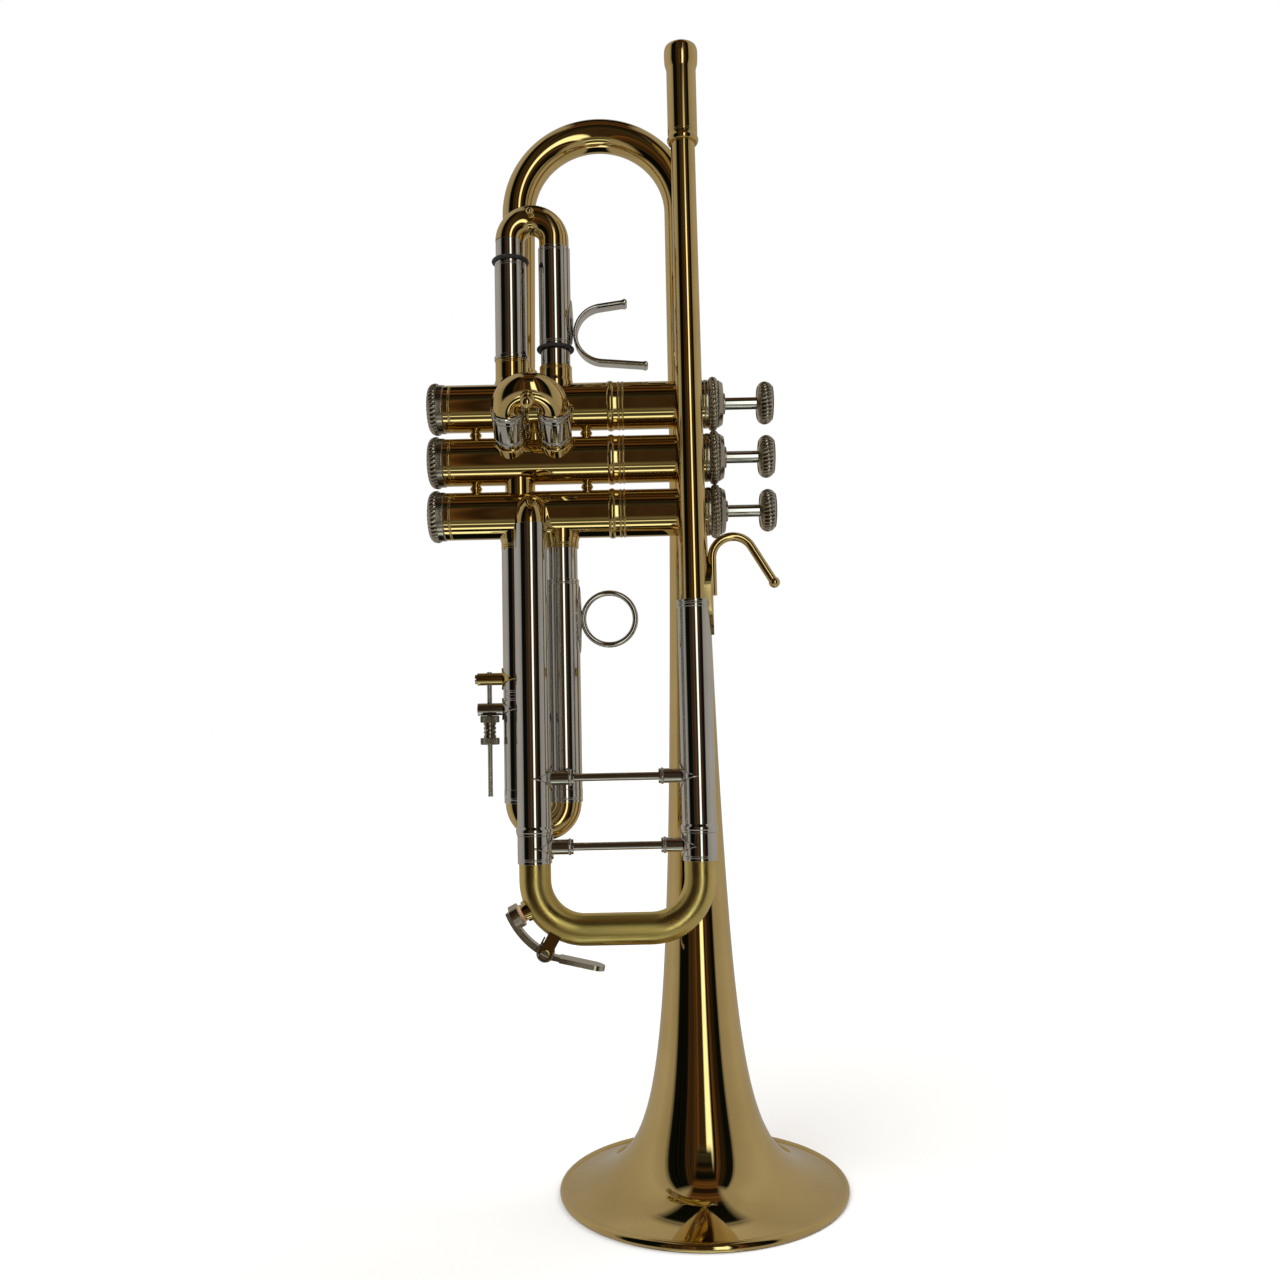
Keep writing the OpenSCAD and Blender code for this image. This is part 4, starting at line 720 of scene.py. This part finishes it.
def leaf_foot(x, z, half_w, half_h, thick, rows=28, columns=12):
    """A pointed leaf plate that hugs the +X side of a sleeve at x, with its middle at height z."""
    rim = 0.12
    verts, faces = [], []
    for face in (0, 1):
        for i in range(rows + 1):
            u = 2 * i / rows - 1
            w = half_w * math.cos(math.pi / 2 * u) + 0.02
            for j in range(columns + 1):
                v = 2 * j / columns - 1
                crown = math.sqrt(1 - v * v) * (1 - abs(u)) ** 0.4
                r = SLEEVE_R + (rim + (thick - rim) * crown if face else 0)
                angle = w * v / SLEEVE_R
                across, out = r * math.sin(angle), r * math.cos(angle)
                verts.append(Vector((x + out, across - VALVE_Y, z + half_h * u)))
    size = (rows + 1) * (columns + 1)
    step = columns + 1
    for face in (0, size):
        for i in range(rows):
            for j in range(columns):
                a = face + i * step + j
                faces.append((a, a + 1, a + step + 1, a + step))
    border = [j for j in range(step)] + [i * step + columns for i in range(1, rows + 1)] \
        + [rows * step + j for j in range(columns - 1, -1, -1)] + [i * step for i in range(rows - 1, 0, -1)]
    for k, a in enumerate(border):
        b = border[(k + 1) % len(border)]
        faces.append((a, b, b + size, a + size))
    return verts, faces


def thumb_rest():
    """The open saddle for the thumb: a half circle of strap with two straight ends."""
    mid_r, thick = 12.2, 1.9
    up_slope, down_slope = math.radians(8), math.radians(5)
    centre = Vector((LEG_X1[1] + SLEEVE_R + 0.9 + thick / 2 + mid_r, -VALVE_Y, 365))
    steps = 40
    start, stop = math.pi / 2 + up_slope, 1.5 * math.pi - down_slope
    arc = [centre + mid_r * Vector((math.cos(a), 0, math.sin(a)))
           for a in (start + (stop - start) * k / steps for k in range(steps + 1))]
    upper = Vector((math.cos(up_slope), 0, math.sin(up_slope)))
    lower = Vector((math.cos(down_slope), 0, -math.sin(down_slope)))
    upper_l, lower_l, tip = 12.1, 20, (0, 0.1, 0.25, 0.45, 0.7, 1.0, 1.4, 1.8, 2.2, 3)
    path = [arc[0] + upper * (upper_l - t) for t in tip] + arc
    path += [arc[-1] + lower * (lower_l - t) for t in reversed(tip)]
    foot = leaf_foot(LEG_X1[1], 371, 4.2, 10, 1.1)
    piece("thumb_rest", [strap(path, 8, thick, 0.35), foot],
          "nickel_silver", "first_slide", "thumb_saddle", sharp=60)


def finger_loop():
    """The finger ring on the third slide."""
    ring_r, wire_r, z = 12.2, 1.2, 242.1
    leg_face = LEG_X3[1] + SLEEVE_R
    loop = turned(profile_points(bead(ring_r - wire_r, 0, wire_r, 0, 345, 23)), ROUND)
    place = at(leg_face + 1 + ring_r - 0.6, -VALVE_Y, z) @ Matrix.Rotation(math.pi / 2, 4, "X")
    piece("finger_loop", [moved(loop, place), leaf_foot(LEG_X3[1], z, 4.2, 14.4, 1.0)],
          "nickel_silver", "third_slide", "finger_ring", sharp=60)


def second_slide():
    """The second slide, which slants towards the viewer, and its pull knob."""
    fixed, moving = [], []
    fixed_top, ring_low, ring_top = 23.3, 23.4, 27
    for x in LEG_X2:
        place = leg(x, VALVE_Z[1], TILT)
        fixed.append(moved(sleeve(SLEEVE_R, SLEEVE_RI, SECOND_TOP, fixed_top, (13.6, 14.4)), place))
        moving.append(moved(sleeve(INNER_R, BORE_R, SECOND_TOP + 0.3, 25), place))
        moving.append(moved(sleeve(FERRULE_R, BORE_R, ring_low, ring_top, (25.0, 25.8)), place))
    piece("second_fixed_tubes", fixed, "nickel_silver", "horn", "second_slide_fixed_tubes")
    piece("second_moving_tubes", moving, "nickel_silver", "second_slide", "second_slide_tubes")
    mid = (LEG_X2[0] + LEG_X2[1]) / 2
    arc_top = 27.5 + CROOK_R
    path = route([(-CROOK_R, 0, ring_top), (-CROOK_R, 0, arc_top), (CROOK_R, 0, arc_top),
                  (CROOK_R, 0, ring_top)], CROOK_R, steps=20)
    piece("second_crook_tube", [moved(pipe(path, BRASS_R, BORE_R), leg(mid, VALVE_Z[1], TILT))],
          "lacquered_brass", "second_slide", "second_slide_crook")
    knob = [(0, 5.6), (3.1, 5.6), (3.1, 7.2, 0.3), (1.5, 7.5, 0.2), (1.4, 7.9, 0.1)] \
        + [(r, h, 0) for r, h, _ in bead(0.01, 9.6, 2.7, -58, 89.7, 18)] + [(0, 12.3)]
    outwards = at(0, 0, arc_top - 0.5) @ Matrix.Rotation(math.pi / 2, 4, "X")
    place = leg(mid, VALVE_Z[1], TILT) @ outwards
    piece("second_knob_ball", [moved(turned(soften(knob, 0.2), 48), place)],
          "lacquered_brass", "second_slide", "second_slide_knob")


def third_slide():
    """The third slide, which is pulled down by the finger ring."""
    (x1, x2), y = LEG_X3, -VALVE_Y
    fixed = [moved(sleeve(SLEEVE_R, SLEEVE_RI, 210.4, THIRD_TOP, (211.6, 212.4)), at(x1, y, 0)),
             moved(sleeve(INNER_R, BORE_R, 176, THIRD_TOP), at(x2, y, 0))]
    piece("third_fixed_tubes", fixed, "nickel_silver", "horn", "third_slide_fixed_tubes")
    low, top = 165.6, 171.2
    crook_end = low + 3.6
    moving = []
    for x in (x1, x2):
        profile = [(BRASS_R, low), (FERRULE_R, low)] + grooves(FERRULE_R, low + 1.2, low + 2.0) \
            + [(FERRULE_R, top), (BORE_R, top), (BORE_R, crook_end), (BRASS_R, crook_end)]
        moving.append(moved(turned(soften(profile, 0.15), FINE), at(x, y, 0)))
    moving.append(moved(sleeve(SLEEVE_R, BORE_R, top, 210.3, (208.3, 209.1)), at(x1, y, 0)))
    moving.append(moved(sleeve(INNER_R, BORE_R, 209.3, 268.6), at(x1, y, 0)))
    moving.append(moved(sleeve(SLEEVE_R, SLEEVE_RI, top, 259, (257.0, 257.8)), at(x2, y, 0)))
    piece("third_moving_tubes", moving, "nickel_silver", "third_slide", "third_slide_tubes")
    path = route([(x1, y, crook_end), (x1, y, low - CROOK_R), (x2, y, low - CROOK_R), (x2, y, crook_end)],
                 CROOK_R, steps=20)
    piece("third_crook_tube", [pipe(path, BRASS_R, BORE_R)],
          "lacquered_brass", "third_slide", "third_slide_crook")


def stop_rod():
    """The threaded rod that limits the third slide, and the knurled nuts on it."""
    x, y, low, high, r, pitch = LEG_X3[0] - 12.7, -VALVE_Y, 168.4, 220.6, 1.14, 0.62
    rows = int((high - low) / pitch * 6)

    def thread(angle, here_r, h):
        if here_r < 1 or h < low + 0.6 or h > high - 4:
            return 0
        turn = (h / pitch + angle / (2 * math.pi)) % 1
        return 0.2 * abs(2 * turn - 1)
    bevel = 0.2
    side = [(r, low + bevel + (high - low - 2 * bevel) * k / rows) for k in range(rows + 1)]
    profile = [(0, low), (r - 0.3, low)] + side + [(r - 0.3, high), (0, high)]
    piece("threaded_rod", [moved(turned(profile, 24, thread), at(x, y, 0))],
          "nickel_silver", "horn", "stop_rod", sharp=80)

    top, height, gap, ridges = 202.25, 6.1, 0.05, 30
    shapes = []
    for base, up in ((top - height, True), (top - 2 * height - gap, False)):
        nut = [(1.2, height), (1.2, 0), (2.2, 0), (2.6, 0.4, 0.1), (2.6, 1.3, 0.1), (2.2, 1.5, 0.1),
               (2.2, 1.9, 0.1), (2.6, 2.1, 0.1), (2.6, height - 3, 0.1), (3.8, height - 2.9),
               (4, height - 2.6, 0.1), (4, height - 0.5, 0.1), (3.7, height - 0.05)]
        if not up:
            nut = [(point[0], height - point[1], *point[2:]) for point in reversed(nut)]
        band = (height - 2.8, height - 0.3) if up else (0.3, 2.8)
        ridged = rope(band[0], band[1], ridges, 0.3)

        def knurling(angle, here_r, h, ridged=ridged):
            return ridged(angle, here_r, h) if here_r > 3.7 else 0
        shapes.append(moved(turned(soften(nut, 0.12, 3), ridges * 8, knurling), at(x, y, base)))
    piece("knurled_nuts", shapes, "aged_nickel", "stop_nut_pair", "stop_nuts", sharp=50)


bell()
leadpipe()
main_slide()
elbows()
valves()
bottom_cap_set()
top_cap_set()
buttons()
springs()
slide_ferrules()
first_slide()
second_slide()
third_slide()
thumb_rest()
finger_loop()
stop_rod()


# ---------- surroundings ----------

def ramp(nodes, stops):
    """A colour ramp from (position, (r, g, b)) stops."""
    node = nodes.new("ShaderNodeValToRGB")
    band = node.color_ramp
    band.elements[0].position = stops[0][0]
    band.elements[0].color = (*stops[0][1], 1)
    band.elements[1].position = stops[-1][0]
    band.elements[1].color = (*stops[-1][1], 1)
    for position, color in stops[1:-1]:
        band.elements.new(position).color = (*color, 1)
    return node


def math_node(nodes, links, operation, *inputs):
    """One Math node. Each input is a socket or a number."""
    node = nodes.new("ShaderNodeMath")
    node.operation = operation
    for slot, value in zip(node.inputs, inputs):
        if isinstance(value, (int, float)):
            slot.default_value = value
        else:
            links.new(value, slot)
    return node.outputs[0]


# The mirrored room's colours, the ends of a share, and the streaks in what is dark.
GREY = (0.365, 0.338, 0.298)
PALE = (0.46, 0.43, 0.385)
BLACK = (0.004, 0.005, 0.004)
BROWN = (0.045, 0.026, 0.014)
WOOD = (0.11, 0.052, 0.02)
OLIVE = (0.075, 0.07, 0.045)
BRONZE = (0.15, 0.135, 0.09)
GLOW = (1.75, 1.85, 1.65)
FLAT = (0, 0, 0)
STEEP = (1, 1, 1)
STREAKS, STREAK_STRENGTH, DARK_TO_PALE = 95, (0.45, 1.6), (0.16, 0.3)

# The mirrored room by bearing, in degrees from the viewer, for tubes that stand upright.
LEVEL_BANDS = (
    (-180, GREY), (-100, PALE), (-74, GREY), (-66, BLACK), (-38, BLACK), (-33, BROWN),
    (-18, BROWN), (-16, WOOD), (-10, WOOD), (-8, BROWN), (3, BROWN), (5, GLOW), (14, GLOW),
    (16, BROWN), (20, BLACK), (23, WOOD), (28, BROWN), (40, BLACK), (50, BLACK), (56, GREY),
    (100, PALE), (180, GREY))

# The mirrored room by height, in degrees up from the viewer, for tubes that lie level.
OVER_BANDS = (
    (-180, GREY), (-158, GREY), (-148, BLACK), (-104, BLACK), (-98, GLOW), (-91, GLOW),
    (-88, BLACK), (-76, BLACK), (-73, GLOW), (-68, GLOW), (-65, OLIVE), (-52, OLIVE),
    (-49, GLOW), (-46, OLIVE), (-34, BRONZE), (-22, OLIVE), (24, OLIVE), (42, BLACK),
    (47, BROWN), (52, BLACK), (58, BLACK), (61, WOOD), (70, WOOD), (73, BLACK),
    (84, WOOD), (90, WOOD), (93, BLACK), (118, BLACK), (126, PALE), (180, GREY))


def bands(angles):
    """Colours by angle as stops on a ramp that spans the full circle."""
    return [(0.5 + degrees / 360, color) for degrees, color in angles]


def height(degrees):
    """Place of an elevation on a ramp."""
    return 0.5 + degrees / 180


def turn_of(nodes, links, y, x):
    """The angle atan2(y, x) as a place on a full-circle ramp."""
    angle = math_node(nodes, links, "ARCTAN2", y, x)
    return math_node(nodes, links, "MULTIPLY_ADD", angle, 1 / (2 * math.pi), 0.5)


def streaked(nodes, links, color, place):
    """A colour broken up, where it is dark, into fine streaks along a ramp."""
    noise = nodes.new("ShaderNodeTexNoise")
    noise.noise_dimensions = "1D"
    noise.inputs["Scale"].default_value = STREAKS
    noise.inputs["Detail"].default_value = 3
    links.new(place, noise.inputs["W"])
    strength = spread(nodes, links, noise.outputs["Fac"], *STREAK_STRENGTH)
    scale = nodes.new("ShaderNodeVectorMath")
    scale.operation = "SCALE"
    links.new(color, scale.inputs[0])
    links.new(strength, scale.inputs["Scale"])
    tone = nodes.new("ShaderNodeRGBToBW")
    links.new(color, tone.inputs[0])
    dark = map_range(nodes, links, tone.outputs[0], DARK_TO_PALE, (1, 0))
    return blend(nodes, links, dark, color, scale.outputs[0])


def build_world():
    """A white backdrop for the camera, and a room for the metal to mirror. Near the horizon the room
    changes with bearing, and above and below that it changes with height. Overhead it is grey."""
    world = bpy.data.worlds.new("room")
    bpy.context.scene.world = world
    world.use_nodes = True
    nodes, links = world.node_tree.nodes, world.node_tree.links
    nodes.clear()
    coords = nodes.new("ShaderNodeTexCoord")
    split = nodes.new("ShaderNodeSeparateXYZ")
    links.new(coords.outputs["Generated"], split.inputs[0])
    x, y, z = split.outputs
    towards = math_node(nodes, links, "MULTIPLY", y, -1.0)
    bearing = turn_of(nodes, links, x, towards)
    pitch = turn_of(nodes, links, z, towards)
    elevation = math_node(nodes, links, "ARCSINE", z)
    rise = math_node(nodes, links, "MULTIPLY_ADD", elevation, 1 / math.pi, 0.5)

    level = ramp(nodes, bands(LEVEL_BANDS))
    over = ramp(nodes, bands(OVER_BANDS))
    # How much of the height bands shows, by elevation and by distance from the middle plane.
    tilt = ramp(nodes, [
        (height(-90), STEEP), (height(-30), STEEP), (height(-22), FLAT),
        (height(24), FLAT), (height(31), STEEP), (height(90), STEEP)])
    aside = ramp(nodes, [(0, STEEP), (0.17, STEEP), (0.24, FLAT), (1, FLAT)])
    # How much plain grey covers the bearing bands, by elevation.
    calm = ramp(nodes, [
        (height(-90), STEEP), (height(-40), STEEP), (height(-28), FLAT),
        (height(64), FLAT), (height(71), STEEP), (height(90), STEEP)])
    links.new(bearing, level.inputs[0])
    links.new(pitch, over.inputs[0])
    links.new(rise, tilt.inputs[0])
    links.new(rise, calm.inputs[0])
    links.new(math_node(nodes, links, "ABSOLUTE", x), aside.inputs[0])
    sides = blend(nodes, links, calm.outputs[0], streaked(nodes, links, level.outputs[0], bearing), GREY)
    over_share = math_node(nodes, links, "MULTIPLY", tilt.outputs[0], aside.outputs[0])
    walls = blend(nodes, links, over_share, sides, streaked(nodes, links, over.outputs[0], pitch))

    room = nodes.new("ShaderNodeBackground")
    links.new(walls, room.inputs["Color"])
    backdrop = nodes.new("ShaderNodeBackground")
    backdrop.inputs["Color"].default_value = (1, 1, 1, 1)
    path = nodes.new("ShaderNodeLightPath")
    mix = nodes.new("ShaderNodeMixShader")
    links.new(path.outputs["Is Camera Ray"], mix.inputs[0])
    links.new(room.outputs[0], mix.inputs[1])
    links.new(backdrop.outputs[0], mix.inputs[2])
    output = nodes.new("ShaderNodeOutputWorld")
    links.new(mix.outputs[0], output.inputs[0])


def build_floor():
    """A pale floor that the metal doesn't mirror."""
    material, nodes, links, shader = new_material("floor")
    shader.inputs["Roughness"].default_value = 0.9
    grain = noise_of(nodes, links, 3, 4)
    links.new(blend(nodes, links, grain, (0.85, 0.85, 0.85), (0.87, 0.87, 0.87)),
              shader.inputs["Base Color"])
    half = 12.0
    corners = [(-half, -half, 0), (half, -half, 0), (half, half, 0), (-half, half, 0)]
    mesh = bpy.data.meshes.new("floor")
    mesh.from_pydata(corners, [], [(0, 1, 2, 3)])
    mesh.materials.append(material)
    floor = bpy.data.objects.new("floor", mesh)
    floor.visible_glossy = False
    bpy.context.scene.collection.objects.link(floor)


def build_lights():
    """Soft daylight from above, for the floor and the matt parts. The metal doesn't mirror it."""
    suns = (("key_light", (0.5, 0.6, -1.0), 2.5), ("fill_light", (-0.6, -0.3, -1.0), 1.75))
    for name, heading, power in suns:
        light = bpy.data.lights.new(name, "SUN")
        light.angle = math.radians(50)
        light.energy = power
        lamp = bpy.data.objects.new(name, light)
        lamp.rotation_mode = "QUATERNION"
        lamp.rotation_quaternion = Vector(heading).to_track_quat("-Z", "Y")
        lamp.visible_glossy = False
        bpy.context.scene.collection.objects.link(lamp)


def build_camera():
    """The viewer's place: below the middle of the trumpet, looking a little upwards."""
    place = Vector((-0.0224, -0.5022, 0.1972))
    pitch, roll = math.radians(4.23), math.radians(1.2)
    turn = Matrix.Rotation(pitch, 3, "X") @ Matrix.Rotation(roll, 3, "Y")
    right, ahead, up = turn.col
    camera = bpy.data.cameras.new("camera")
    camera.sensor_width = 36
    camera.lens = 32.14
    camera.clip_start = 0.02
    viewer = bpy.data.objects.new("camera", camera)
    rotation = Matrix((right, up, -ahead)).transposed().to_4x4()
    viewer.matrix_world = Matrix.Translation(place) @ rotation
    bpy.context.scene.collection.objects.link(viewer)
    bpy.context.scene.camera = viewer


build_world()
build_floor()
build_lights()
build_camera()
bpy.context.scene.view_settings.view_transform = "Standard"
